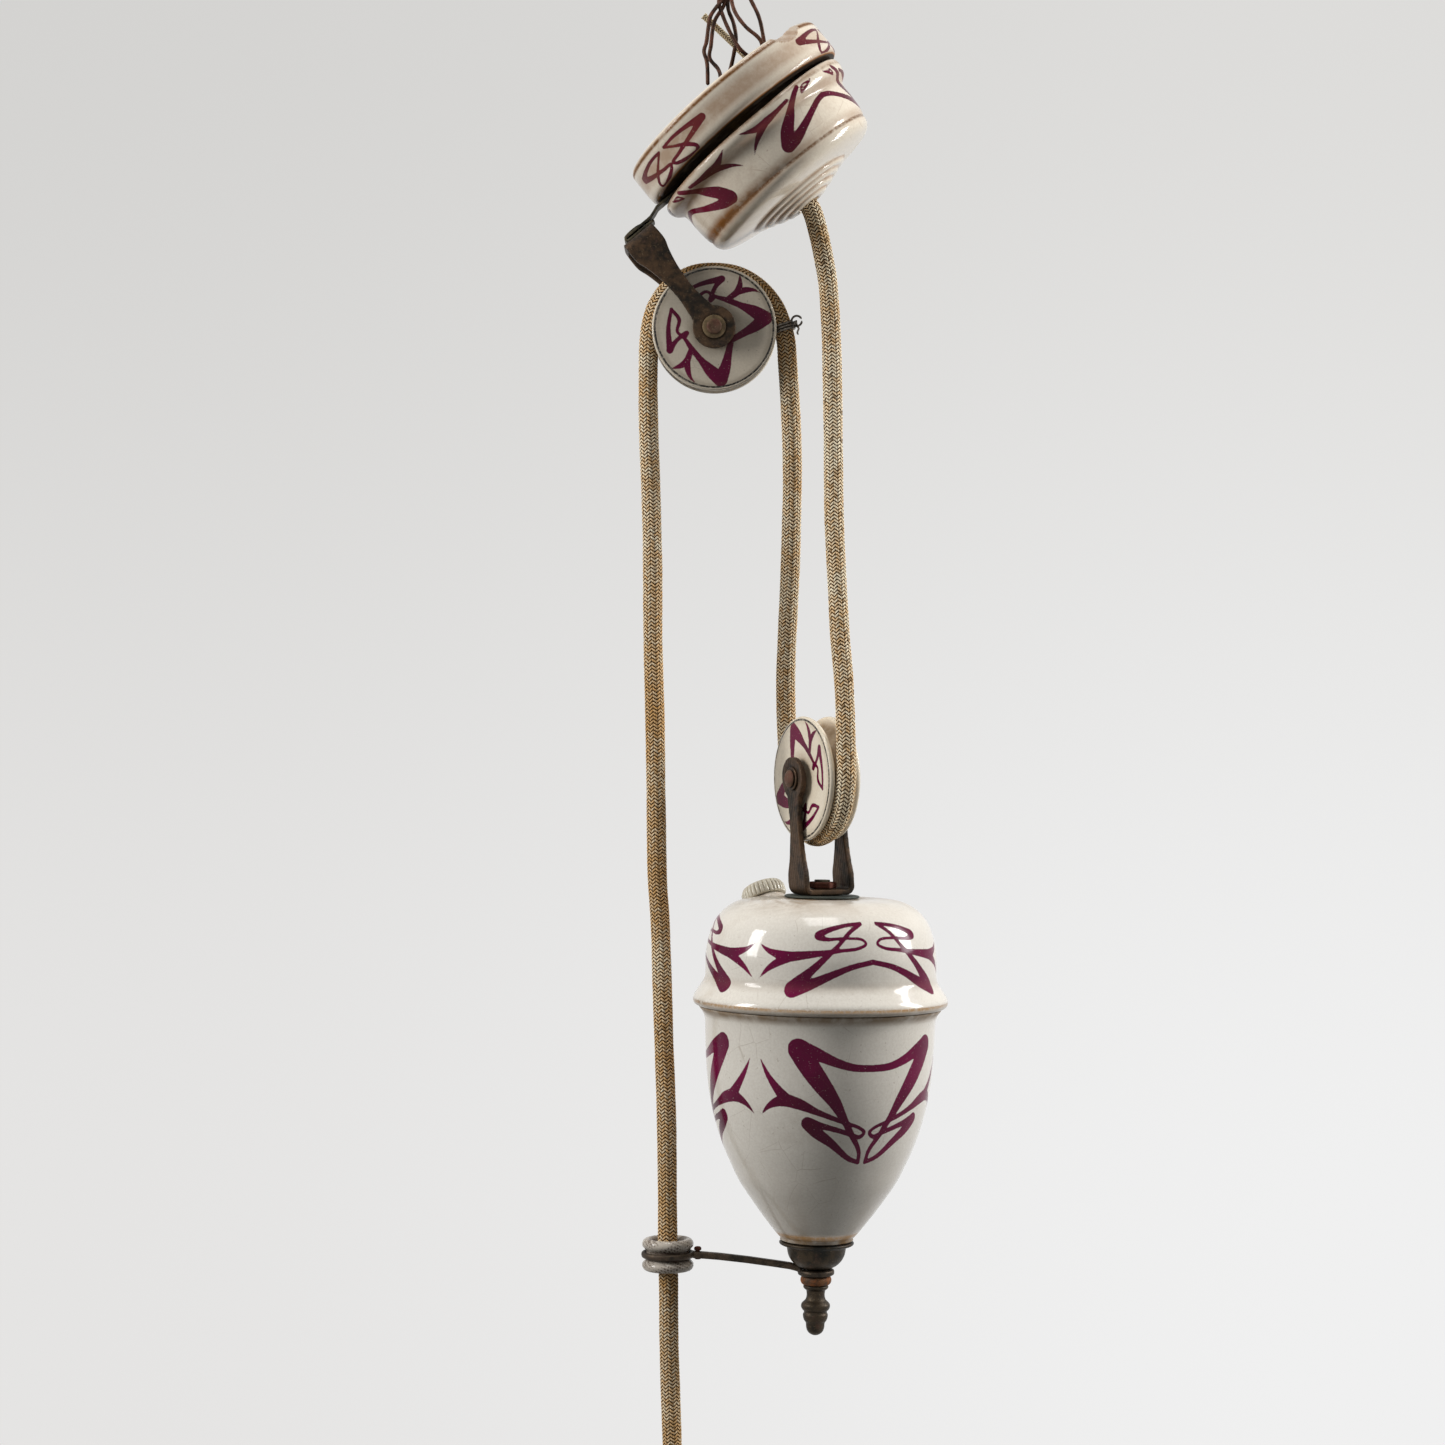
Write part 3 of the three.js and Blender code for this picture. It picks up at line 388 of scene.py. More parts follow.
glazeScales = {"broad": 28, "middle": 120, "fine": 900, "specks": 620, "cells": 75.0, "crazed": 45,
               "wear": 1500}
metalScales = {"broad": 90, "middle": 420, "fine": 2200, "rust": 150, "spots": 1300}
plaitScales = {"patches": 42, "fibres": 3200, "slope": 0.85}


def makeAgedGlaze():
    nodes, given, out = groupOf("agedGlaze", {"Place": None, "Glaze": (0.8, 0.75, 0.66, 1),
                                              "StainAndShade": (0.3, 0.2, 0.1, 1), "Paint": (0.15, 0.01, 0.05, 1),
                                              "Gilt": (0.55, 0.36, 0.14, 1), "Ornament": unpainted,
                                              "Gold": 0.0, "GrimeAndShade": 0.0, "Chip": 0.0, "Staining": 0.3,
                                              "Specks": 0.3, "Crazing": 0.3, "Metal": 0.9},
                                ("Color", "Roughness", "Metallic", "Coat", "Height"))
    place, scales, chip = given["Place"], glazeScales, given["Chip"]
    broad = nodes.noise(place, scales["broad"], 4)
    middle = nodes.noise(place, scales["middle"], 5, 0.65)
    fine = nodes.noise(place, scales["fine"], 3, 0.7)
    # blotches, specks and crazing lines
    blotch = nodes.times(nodes.ease(broad, 0.48, 0.72), nodes.ease(middle, 0.35, 0.7), given["Staining"])
    speck = nodes.times(nodes.ease(nodes.noise(place, scales["specks"], 2, 0.6), 0.685, 0.73),
                        given["Specks"])
    cells = nodes.make("TexVoronoi", {"Vector": place, "Scale": scales["cells"]}, feature="DISTANCE_TO_EDGE")
    crazed = nodes.ease(nodes.noise(place, scales["crazed"], 2), 0.5, 0.62)
    cracks = nodes.times(nodes.ease(cells.outputs[0], 0.0, 0.014, 1.0, 0.0), crazed, given["Crazing"])
    # the dirt mark also holds painted shade in the creases, so dirt and soil here are partly painted shade
    dirtAndShade = nodes.times(given["GrimeAndShade"], nodes.ease(middle, 0.2, 0.62, 0.35, 1.0))
    soil = nodes.most(blotch, dirtAndShade, speck, cracks)
    # worn edges of the painted strokes and the gilding
    edge = nodes.plus(given["Ornament"], nodes.times(nodes.plus(fine, -0.5), 0.35))
    scratched = nodes.ease(nodes.noise(place, scales["wear"], 2, 0.7), 0.66, 0.78, 1.0, 0.25)
    paint = nodes.times(nodes.ease(edge, -0.16, 0.16), scratched)
    gold = nodes.times(given["Gold"], nodes.ease(middle, 0.28, 0.46), nodes.ease(fine, 0.3, 0.55, 0.4, 1.0))
    # the colours, one over the other, and the bare body where the glaze has come off
    surface = nodes.mixed(nodes.ease(fine, 0.3, 0.7, 0.0, 0.12), given["Glaze"], given["StainAndShade"])
    deeper = nodes.mixed(nodes.ease(broad, 0.3, 0.7, 0.1, 0.65), given["Paint"], colour(40, 2, 22))
    surface = nodes.mixed(paint, surface, deeper)
    surface = nodes.mixed(nodes.times(soil, nodes.ease(paint, 0, 1, 1, 0.45)), surface, given["StainAndShade"])
    surface = nodes.mixed(gold, surface, given["Gilt"])
    # a dirt mark between 1 and 2 paints near-black shade, used in the gap between the rose's ring and cover
    surface = nodes.mixed(nodes.ease(given["GrimeAndShade"], 1.0, 2.0, 0.0, 0.97), surface, colour(20, 14, 9))
    bare = nodes.mixed(middle, colour(214, 208, 198), colour(150, 138, 122))
    rough = nodes.plus(nodes.times(soil, 0.35), nodes.ease(broad, 0.3, 0.75, 0.12, 0.22),
                       nodes.times(chip, 0.35), nodes.times(gold, 0.14))
    bright = nodes.times(nodes.ease(paint, 0, 1, 0.4, 0.06), nodes.ease(soil, 0, 1, 1.0, 0.4))
    # the glaze is a little uneven, the paint stands on it and the cracks are in it
    height = nodes.plus(nodes.times(middle, 0.05), nodes.times(broad, 0.12), nodes.times(paint, 0.012),
                        nodes.times(nodes.plus(cracks, speck), -0.03), nodes.times(chip, fine, 0.25))
    nodes.give(out, {"Color": nodes.mixed(chip, surface, bare), "Roughness": rough, "Coat": bright,
                     "Metallic": nodes.times(gold, given["Metal"]), "Height": height})
    return nodes.tree


def makeAgedMetal():
    nodes, given, out = groupOf("agedMetal", {"Place": None, "Metal": (0.1, 0.07, 0.04, 1),
                                              "Patina": (0.03, 0.04, 0.03, 1), "Rust": (0.2, 0.07, 0.03, 1),
                                              "Rusting": 0.3, "Polish": 0.5, "Shine": 0.8, "Pitting": 0.1,
                                              "Grain": 1.0}, ("Color", "Roughness", "Metallic", "Height"))
    scales = metalScales
    place = nodes.make("VectorMath", {0: given["Place"], 3: given["Grain"]}, operation="SCALE").outputs[0]
    broad = nodes.noise(place, scales["broad"], 4, 0.6)
    middle = nodes.noise(place, scales["middle"], 5, 0.65)
    fine = nodes.noise(place, scales["fine"], 3, 0.7)
    patina = nodes.ease(nodes.plus(nodes.times(broad, 0.6), nodes.times(middle, 0.4)), 0.4, 0.62)
    rusty = nodes.plus(nodes.times(nodes.noise(place, scales["rust"], 5, 0.7), 0.7), nodes.times(middle, 0.3),
                       nodes.times(given["Rusting"], 0.5))
    rusty = nodes.ease(rusty, 0.58, 0.74)
    surface = nodes.mixed(patina, given["Metal"], given["Patina"])
    darker = nodes.mixed(0.5, given["Rust"], given["Patina"])
    surface = nodes.mixed(rusty, surface, nodes.mixed(nodes.ease(fine, 0.3, 0.75), given["Rust"], darker))
    spots = nodes.ease(nodes.noise(place, scales["spots"], 2, 0.6), 0.62, 0.72)
    surface = nodes.mixed(nodes.times(spots, 0.35), surface, colour(128, 112, 88))
    rough = nodes.plus(nodes.times(given["Polish"], -0.6), 0.85, nodes.times(nodes.plus(middle, -0.5), 0.35),
                       nodes.times(rusty, 0.2))
    bright = nodes.times(given["Shine"], nodes.plus(nodes.times(rusty, -0.75), 1.0))
    height = nodes.plus(nodes.times(middle, 0.6), nodes.times(fine, 0.4), nodes.times(rusty, 0.4))
    nodes.give(out, {"Color": surface, "Roughness": rough, "Metallic": bright,
                     "Height": nodes.times(height, given["Pitting"])})
    return nodes.tree


def makePlait():
    nodes, given, out = groupOf("plait", {
        "Place": None, "Lay": None, "Pale": (0.6, 0.45, 0.27, 1), "Golden": (0.4, 0.24, 0.1, 1),
        "Dark": (0.06, 0.035, 0.02, 1), "Columns": 8.0, "Soil": 0.0, "Flecks": 0.3},
        ("Color", "Roughness", "Height"))
    parts = nodes.make("SeparateXYZ", {0: given["Lay"]}).outputs
    columns = nodes.times(parts[0], given["Columns"])
    across = nodes.maths("FRACT", columns)
    fold = nodes.times(nodes.maths("ABSOLUTE", nodes.plus(across, -0.5)), 2.0)
    phase = nodes.plus(parts[1], nodes.times(fold, plaitScales["slope"]))
    crown = nodes.maths("SINE", nodes.times(nodes.maths("FRACT", phase), math.pi))
    dip = nodes.ease(nodes.maths("MINIMUM", fold, nodes.maths("SUBTRACT", 1.0, fold)), 0.0, 0.22)
    # every strand has a number, from which it gets its own tone
    halves = nodes.maths("FLOOR", nodes.times(columns, 2.0))
    number = nodes.plus(nodes.maths("FLOOR", phase), nodes.times(halves, 7.31))
    chance = nodes.make("TexWhiteNoise", {"W": number}, noise_dimensions="1D").outputs[0]
    patches = nodes.noise(given["Place"], plaitScales["patches"], 4, 0.6)
    fibres = nodes.noise(given["Place"], plaitScales["fibres"], 3, 0.7)
    # the crowns of the strands lean to the pale colour, a painted highlight
    tone = nodes.plus(nodes.times(chance, 0.3), nodes.times(patches, 0.6), nodes.times(given["Soil"], 0.35),
                      nodes.ease(crown, 0.7, 1.0, 0.25, 0.0))
    yarn = nodes.mixed(nodes.ease(tone, 0.42, 1.0), given["Pale"], given["Golden"])
    yarn = nodes.mixed(nodes.ease(fibres, 0.45, 0.8, 0.0, 0.3), yarn, given["Golden"])
    fleck = nodes.ease(nodes.plus(chance, nodes.times(given["Flecks"], 0.1)), 1.0, 1.06)
    yarn = nodes.mixed(nodes.times(fleck, 0.6), yarn, given["Dark"])
    # the hollows between the strands take the dark colour, a painted shade
    raised = nodes.times(nodes.ease(crown, 0.3, 0.68), nodes.plus(nodes.times(dip, 0.45), 0.55))
    hollow = nodes.ease(raised, 0.06, 0.6, 1.0, 0.0)
    stained = nodes.times(given["Soil"], nodes.ease(patches, 0.3, 0.6, 0.02, 0.26))
    nodes.give(out, {"Color": nodes.mixed(nodes.most(hollow, stained), yarn, given["Dark"]),
                     "Roughness": nodes.ease(fibres, 0.2, 0.8, 0.75, 0.95),
                     "Height": nodes.plus(nodes.times(raised, 0.3), nodes.times(fibres, 0.05))})
    return nodes.tree


# A material round one of the groups; marks names the mesh attributes that feed it.
def materialOf(name, group, values, marks=(), sheen=0.0, specular=0.5, lay=False):
    material = bpy.data.materials.new(name)
    material.use_nodes = True
    nodes = nodeTools(material.node_tree)
    shader = nodes.tree.nodes["Principled BSDF"].inputs
    for socket, value in (("Coat Roughness", 0.06), ("Sheen Weight", sheen),
                          ("Specular IOR Level", specular)):
        shader[socket].default_value = value
    values = {title: colour(*value) if isinstance(value, tuple) else value for title, value in values.items()}
    values["Place"] = nodes.make("TexCoord").outputs["Object"]
    if lay:
        values["Lay"] = nodes.make("UVMap", uv_map="lay").outputs[0]
    for title in marks:
        mark = nodes.make("Attribute", attribute_name=title.lower(), attribute_type="GEOMETRY")
        values[title] = mark.outputs["Fac"]
    placed = nodes.make("Group", values, node_tree=group).outputs
    bump = nodes.make("Bump", {"Height": placed["Height"], "Distance": mm, "Strength": 1.0}).outputs[0]
    feeds = {"Base Color": "Color", "Roughness": "Roughness", "Metallic": "Metallic", "Coat Weight": "Coat"}
    nodes.give(shader, {socket: placed[title] for socket, title in feeds.items() if title in placed})
    nodes.give(shader, {"Normal": bump})
    return material


glazeParts = ("Glaze", "StainAndShade", "Paint", "Gilt", "Staining", "Specks", "Crazing", "Metal")
glazes = {
    "roseGlaze": ((232, 221, 202), (142, 92, 44), (110, 6, 50), (104, 66, 26), 0.4, 0.35, 0.35, 0.15),
    "weightGlaze": ((234, 228, 217), (132, 104, 70), (124, 8, 68), (160, 116, 56), 0.14, 0.3, 0.3, 0.8),
    "upperPulleyGlaze": ((222, 210, 190), (116, 94, 66), (118, 8, 62), (20, 15, 12), 0.4, 0.5, 0.2, 0.0),
    "lowerPulleyGlaze": ((236, 224, 202), (138, 104, 62), (122, 10, 64), (30, 22, 18), 0.22, 0.3, 0.3, 0.0),
    "guideGlaze": ((214, 204, 190), (72, 50, 36), (60, 40, 30), (60, 40, 30), 0.95, 1.0, 0.6, 0.0),
    "blockGlaze": ((214, 206, 192), (120, 96, 66), (60, 40, 30), (60, 40, 30), 0.4, 0.4, 0.3, 0.0),
    "fillerResin": ((206, 199, 182), (140, 122, 92), (60, 40, 30), (60, 40, 30), 0.35, 0.2, 0.0, 0.0),
}
metalParts = ("Metal", "Patina", "Rust", "Rusting", "Polish", "Shine", "Pitting", "Grain")
metals = {
    "yokeBronze": ((74, 55, 38), (28, 23, 17), (82, 52, 36), 0.1, 0.55, 0.75, 0.1, 1.0),
    "strapIron": ((86, 78, 60), (44, 42, 32), (84, 56, 40), 0.1, 0.5, 0.7, 0.12, 1.0),
    "axleIron": ((92, 70, 52), (60, 44, 34), (92, 54, 36), 0.25, 0.5, 0.7, 0.1, 1.0),
    "washerBronze": ((112, 96, 72), (70, 58, 44), (86, 62, 44), 0.05, 0.8, 0.9, 0.08, 1.0),
    "verdigris": ((62, 66, 58), (38, 44, 40), (70, 62, 48), 0.05, 0.4, 0.5, 0.14, 1.0),
    "rustedIron": ((78, 52, 40), (50, 34, 28), (98, 50, 34), 0.6, 0.2, 0.5, 0.4, 1.0),
    "ochreRust": ((96, 66, 40), (58, 42, 30), (146, 84, 34), 0.3, 0.4, 0.65, 0.2, 1.0),
    "finialBronze": ((56, 45, 31), (17, 17, 12), (84, 56, 36), 0.1, 0.6, 0.7, 0.1, 1.0),
    "armSteel": ((68, 56, 44), (34, 29, 23), (78, 54, 40), 0.1, 0.55, 0.75, 0.1, 1.0),
    "copperStrand": ((74, 48, 34), (34, 26, 22), (104, 56, 34), 0.2, 0.6, 0.8, 0.08, 1.6),
    "stopSteel": ((126, 120, 112), (62, 56, 50), (84, 70, 58), 0.05, 0.8, 0.95, 0.04, 1.0),
    "innerBrass": ((158, 128, 72), (96, 76, 44), (92, 78, 50), 0.05, 0.6, 0.9, 0.06, 1.0),
    "castBallast": ((104, 104, 102), (72, 72, 70), (86, 80, 74), 0.1, 0.2, 0.6, 0.25, 1.0),
}
cottons = {
    "cordCotton": {"Pale": (255, 243, 214), "Golden": (234, 182, 114), "Dark": (44, 24, 10), "Columns": 8.0},
    "leadCotton": {"Pale": (240, 222, 184), "Golden": (204, 176, 128), "Dark": (104, 80, 50), "Columns": 4.0},
}


def makeFinishes():
    glaze, metal, plait = makeAgedGlaze(), makeAgedMetal(), makePlait()
    made = {}
    for name, row in glazes.items():
        # the terminal block is a CAD node and has no marks
        marks = () if name == "blockGlaze" else ("Ornament", "Gold", "GrimeAndShade", "Chip")
        made[name] = materialOf(name, glaze, dict(zip(glazeParts, row)), marks, specular=0.08)
    for name, row in metals.items():
        made[name] = materialOf(name, metal, dict(zip(metalParts, row)))
    made["cordCotton"] = materialOf("cordCotton", plait, cottons["cordCotton"], ("Soil", "Flecks"),
                                    sheen=0.04, specular=0.12, lay=True)
    made["leadCotton"] = materialOf("leadCotton", plait, cottons["leadCotton"], sheen=0.1, specular=0.25,
                                    lay=True)
    return made


finishes = makeFinishes()
print("materials built:", len(finishes))

cordSettings = {"radius": 4.4, "around": 80, "step": 0.42, "columns": 8, "pitch": 1.62, "relief": 0.44,
                "uneven": 0.16, "pathEvery": 12}
runA = [(16.78, 0, -142.18), (22.46, 0, -149.05), (27.56, 0, -155.21), (31.54, 0, -160.01),
        (34.53, 0, -164.42), (38, -0.3, -176.5), (40.1, -0.8, -186.9), (41.6, -1.2, -195.9),
        (42.4, -1.8, -204.9), (43.3, -3.3, -222.9), (43.8, -6, -249.9), (44, -9.2, -276.9),
        (44.2, -12.8, -303.9), (45.7, -17.6, -339.9), (46.6, -19.8, -357.9), (48.1, -21.9, -375.9),
        (48.8, -23.8, -393.9), (49.1, -24.9, -411.9)]
underPulley = [(49, -25.2, -420.2), (47.3, -21.8, -433.3), (42.8, -12.6, -442.9), (36.7, 0, -446.4),
               (30.6, 12.6, -442.9), (26.1, 21.8, -433.3), (24.4, 25.2, -420.2)]
runB = [(24.2, 25, -411), (23.6, 23.6, -393.9), (23.3, 21.9, -375.9), (23.8, 19.6, -357.9),
        (24.6, 17, -339.9), (25.3, 13.9, -321.9), (25.7, 10.6, -303.9), (26, 7.4, -285.9),
        (25.7, 4.3, -267.9), (24.8, 1.8, -249.9), (23.6, 0.5, -231.9), (22.9, 0.1, -222.9)]
overPulley = [(20.6, 0, -214.8), (17.3, 0, -207.4), (10.6, 0, -199.5), (1.1, 0, -193.9), (-9.7, 0, -192.3),
              (-19.4, 0, -193.7), (-29.5, 0, -199.7), (-35.1, 0, -207.8), (-37.4, 0, -214.8)]
runC = [(-38.6, 0, -222.9), (-39.1, 0, -240.9), (-38.7, 0, -267.9), (-38, 0, -285.9), (-37.1, 0, -321.9),
        (-36.9, 0, -357.9), (-36, 0, -393.9), (-35.5, 0, -429.9), (-34.9, 0, -465.9), (-33.7, 0, -483.9),
        (-33.1, 0, -501.9), (-32, 0, -537.9), (-30.8, 0, -573.9), (-30.4, 0, -609.9), (-30.2, 0, -634.3),
        (-29.9, 0, -645.9), (-29.7, 0, -672.9), (-28.9, 0, -699.9), (-28.3, 0, -717.9), (-27.7, 0, -745),
        (-27.3, 0, -765), (-26.9, 0, -786)]


def makeCords():
    s = cordSettings
    line = evenly(smoothThrough(runA + underPulley + runB + overPulley + runC), s["step"])
    far = np.arange(len(line)) * s["step"]
    angle = np.linspace(0, 1, s["around"], endpoint=False)
    fold = np.abs((angle * s["columns"]) % 1 - 0.5) * 2
    phase = (far / s["pitch"])[:, None] + fold[None, :] * plaitScales["slope"]
    crown = clamp(np.sin((phase % 1) * math.pi) * 1.3)
    dip = clamp(np.minimum(fold, 1 - fold) / 0.25)
    body = s["radius"] + s["uneven"] * wave(far, 2.0, 61, 23, 37)
    radius = body[:, None] - s["relief"] * (1 - crown * (0.4 + 0.6 * dip[None, :]))
    rings = tubeRings(line, radius, s["around"])

    def rowAt(point):
        return int(np.argmin(np.linalg.norm(line - np.array(point), axis=1)))

    loopStart, loopEnd, topStart = rowAt(underPulley[0]), rowAt(underPulley[-1]), rowAt(runB[7])
    archStart, archMiddle, archEnd = rowAt(overPulley[1]), rowAt(overPulley[4]), rowAt(runC[0])
    free = rowAt(runC[3])
    # dirt gathers on the arch and towards the lamp, and the older half has more dark flecks
    soil = 0.35 + 0.3 * wave(far, 1.0, 83, 47, 31)
    soil += 0.55 * np.exp(-((far - far[archMiddle]) / 40) ** 2) + 0.3 * clamp((far - far[free]) / 120)
    flecks = np.where(far < far[loopEnd], 0.75, 0.3) + 0.2 * wave(far, 4.0, 57, 29)
    stretches = [  # name, rows, body it rides on or the two it bends between, and what it joins
        ("cord_run_a", 0, loopStart, ("rose_assembly", "weight_frame"), "object"),
        ("cord_loop", loopStart, loopEnd, "weight_frame", "object"),
        ("cord_run_b", loopEnd, topStart, ("rose_assembly", "weight_frame"), "object"),
        ("cord_run_b_top", topStart, archStart, ("rose_assembly", "upper_yoke_assembly"), "object"),
        ("cord_arch", archStart, archEnd, "upper_yoke_assembly", "object"),
        ("cord_run_c_top", archEnd, free, ("rose_assembly", "upper_yoke_assembly"), "object"),
        ("cord_run_c", free, len(line) - 1, ("rose_assembly", "lamp_end"), "fitting"),
    ]
    for name, first, last, bodies, end in stretches:
        rows = slice(first, last + 1)
        piece = skin(name.replace("cord_run", "cottonRun").replace("cord_", "cotton_"), rings[rows],
                     along=far[rows] / s["pitch"], marks={"soil": soil[rows], "flecks": flecks[rows]})
        bends = isinstance(bodies, tuple)
        finished(piece, None if bends else bodies, "braided_cotton", "cordCotton", name)
        if bends:
            ends = sorted((line[first], line[last]), key=lambda p: -p[2])
            if bodies[1] == "upper_yoke_assembly":
                ends.reverse()
            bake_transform(piece)


makeCords()
print("cord laid")

ringSettings = {"steps": 480, "row": 0.62, "coarse": 1.6, "radius": 53, "motifs": (-137.5, -17.5, 102.5),
                "goldLine": -2.1, "bold": 1.35, "lower": 1.8,
                "notch": {"size": 15, "out": 6.4, "up": 8.4, "turn": -48}}
ringOutline = [(46, -18.6), (49, -18.6), (51, -18), (52.4, -17), (53, -15.2), (53.05, -12), (53, -6),
               (53, -3.2), (52.6, -1.3), (51.5, -0.1), (50, 0.05), (48.6, -0.2), (47.7, -1.2), (47.5, -3),
               (47.5, -8), (47.5, -12.6), (46.8, -13.7), (45.4, -14.1)]
ringSeat = [(24, -14.1), (24, -18.6)]
ringStrokes = [
    [(28, 6.5, 2.6), (20, 5, 1.6), (10, 4, 1.2), (2, 4.2, 1)],
    [(2, 4.2, 1), (7, 7, 1), (12.5, 10, 1.4), (17, 14, 1.4), (16, 15.4, 1.2), (9, 15, 1.2), (2, 13, 1.2),
     (0.8, 11.6, 1), (6, 11, 1.2), (12.5, 10, 1.4), (20, 8.6, 1.8), (28, 6.5, 2.6)],
]


def makeRoseRing():
    s, notch = ringSettings, ringSettings["notch"]
    turn, out = math.radians(notch["turn"]), s["radius"] + notch["out"]
    centre = np.array([out * math.cos(turn), out * math.sin(turn), notch["up"]])

    def shape(p):  # breaks the notch out of the rim
        away = p - centre
        far = np.linalg.norm(away, axis=1)
        size = notch["size"] + 0.25 * wave(p[:, 0] + 2 * p[:, 1], 1.0, 7, 3.1)
        pushed = centre + away / far[:, None] * size[:, None]
        return np.where((far < notch["size"])[:, None], pushed, p)

    def marks(p):
        r, z, azimuth = reachOf(p), p[:, 2], turnOf(p)
        outside = r > 52
        unit = math.radians(1) * s["radius"]
        across = mirroredAngle(azimuth, s["motifs"]) * unit
        depth = paintedDepth(across, -z - s["lower"], ringStrokes, unit, s["bold"])
        depth[~outside] = unpainted
        gold = band(z, s["goldLine"], 0.5, 0.4) * (r > 51)
        # darker along the gilt line, towards the foot, inside the rim and on the break; a band round the
        # middle, heavier on one side, is painted shade
        shade = 0.5 + 0.5 * np.cos(np.radians(azimuth + 115))
        grimeandshade = 0.85 * band(z, s["goldLine"], 0.55, 0.8) + 0.6 * clamp((-14.5 - z) / 4) + 0.75 * (r < 47.9)
        grimeandshade = grimeandshade + (0.12 + 0.5 * shade) * band(z, -9.5, 2.2, 3.5) * outside
        broken = clamp(1.4 - np.abs(np.linalg.norm(p - centre, axis=1) - notch["size"]) / 0.6)
        grimeandshade = np.where(broken > 0.2, 0.75 + 0.25 * wave(p[:, 0] + z, 2.0, 5.3, 2.1), grimeandshade)
        # the ring's underside facing the gap to the cover gets painted near-black shade
        gap = (z < -18.1) & (r < 52.6)
        return {"ornament": depth, "gold": gold * (1 - broken), "grimeandshade": np.where(gap, 2, clamp(grimeandshade)),
                "chip": broken * 0.35}

    line = np.vstack([smoothThrough(ringOutline), ringSeat])
    makeTurned("roseRing", line, rosePlace, "rose_assembly", "glazed_porcelain", "roseGlaze", "rose_ring",
               step=lambda r, z: np.where(r > 52.4, s["row"], s["coarse"]), steps=s["steps"], shape=shape,
               marks=marks)


coverSettings = {"steps": 480, "row": 0.7, "fine": 0.36, "coarse": 2.0, "radius": 46,
                 "motifs": (-47, -167, 73), "goldLine": -47.4, "lower": 2.0, "lipRise": 2.1, "shadedSide": -150,
                 "terraces": ((25.4, -55.3, 1.6), (20.8, -57, 1.5), (16.2, -58.6, 1.6), (11.2, -60.3, 1.4)),
                 "tip": [(7.2, -61.9), (6, -61.6)]}
coverOutline = [(46.6, -21.8), (49.4, -21.9), (50.4, -23), (50.4, -25.2), (49.4, -27), (47.6, -28.4),
                (46.3, -29.6), (45.7, -32.3), (45.6, -37), (45.3, -42.3), (44.6, -45.9), (44, -47.1),
                (44.1, -47.9), (43.9, -49.6), (42.9, -51.3), (41.2, -52.7), (36.8, -54), (30.6, -54.9),
                (26.4, -55.2)]
coverInside = [(6, -56.2), (8.6, -56), (10.5, -54), (10.5, -54.6), (21, -51.8), (35.8, -48.6), (40.6, -42),
               (40.6, -31), (46, -26), (46, -22.2)]
coverStrokes = [
    [(0, 30, 2.6), (6, 31, 2.6), (20, 35.5, 3.2), (32, 39, 5), (38, 39.3, 6.4)],
    [(38, 39.3, 6.4), (34, 34.6, 6), (26, 29, 4.2), (20, 24, 2.6), (16, 21.8, 2)],
    [(25, 24, 1.5), (33, 25, 2), (40, 25.5, 3), (46, 25.4, 2.6), (51, 24, 1.5), (55, 22.3, 0.3)],
    [(40, 25.5, 3), (46, 27.4, 2.6), (51.5, 30, 1.5), (56, 33.2, 0.3)],
    [(6, 22.2, 1), (10, 23.6, 1.2), (15, 24.8, 1), (13, 22.6, 1), (8, 22.4, 0.8)],
]


def makeRoseCover():
    s = coverSettings
    outer = list(coverOutline)
    for edge, level, drop in s["terraces"]:  # each step of the foot falls away, then runs level
        outer += [(edge + 0.5, level), (edge + 0.1, level - 0.2), (edge - 0.4, level - 0.55 * drop),
                  (edge - 1.2, level - 0.85 * drop), (edge - 2.3, level - drop), (edge - 3.3, level - drop)]
    line = np.vstack([smoothThrough(outer + s["tip"]), coverInside])

    def step(r, z):
        wall = (r > 38) & (z < -22) & ~((r < 46.05) & (z > -44) & (r < 44.4))
        return np.where(wall, s["row"], np.where(z < -54.6, s["fine"], s["coarse"]))

    def shape(p):  # the lip sits closer to the ring on the right
        rise = s["lipRise"] * clamp((p[:, 0] - 6) / 38) * clamp((p[:, 2] + 27) / 4) * (reachOf(p) > 43)
        return p + rise[:, None] * (0, 0, 1)

    def marks(p):
        r, z, azimuth = reachOf(p), p[:, 2], turnOf(p)
        unit = math.radians(1) * s["radius"]
        depth = paintedDepth(mirroredAngle(azimuth, s["motifs"]) * unit, -z - s["lower"], coverStrokes, unit)
        outside = np.where(z > -43.5, r > 44, r > 35.8 + (z + 56) * 0.36)
        depth[~outside | (z < -50)] = unpainted
        gold = 0.9 * band(z, s["goldLine"], 0.4, 0.35) * (r > 40) + 0.5 * band(z, -22.6, 0.4, 0.5) * (r > 48)
        gold = gold + 0.7 * band(r, 7.2, 0.3, 0.4) * (z < -60)
        # painted shade in the creases, at each terrace step and above the gold line, heavier towards the
        # shaded side
        apart = mirroredAngle(azimuth, (s["shadedSide"],))
        underEdge = (0.8 + 0.9 * clamp((85 - apart) / 60)) * band(z, s["goldLine"] + 1.1, 0.9, 3.2)
        creases = band(z, -28.6, 0.8, 2.6) + underEdge + band(z, -22, 0.5, 1.6)
        for edge, level, drop in s["terraces"]:
            creases = creases + 1.3 * band(r, edge + 0.5, 0.35, 0.7) * (z < level + 0.6)
        near = clamp((55 - apart) / 60) * 0.35
        # the lip's inner top in the gap under the ring gets painted near-black shade
        grimeandshade = np.where((z > -22.3) & (r < 49.2), 2, clamp(0.5 * creases + near * 0.6))
        return {"ornament": depth, "gold": clamp(gold), "grimeandshade": grimeandshade}

    makeTurned("roseCover", line, rosePlace, "rose_assembly", "glazed_porcelain", "roseGlaze", "rose_cover",
               step=step, steps=s["steps"], shape=shape, marks=marks)


makeRoseRing()
makeRoseCover()
print("rose turned")


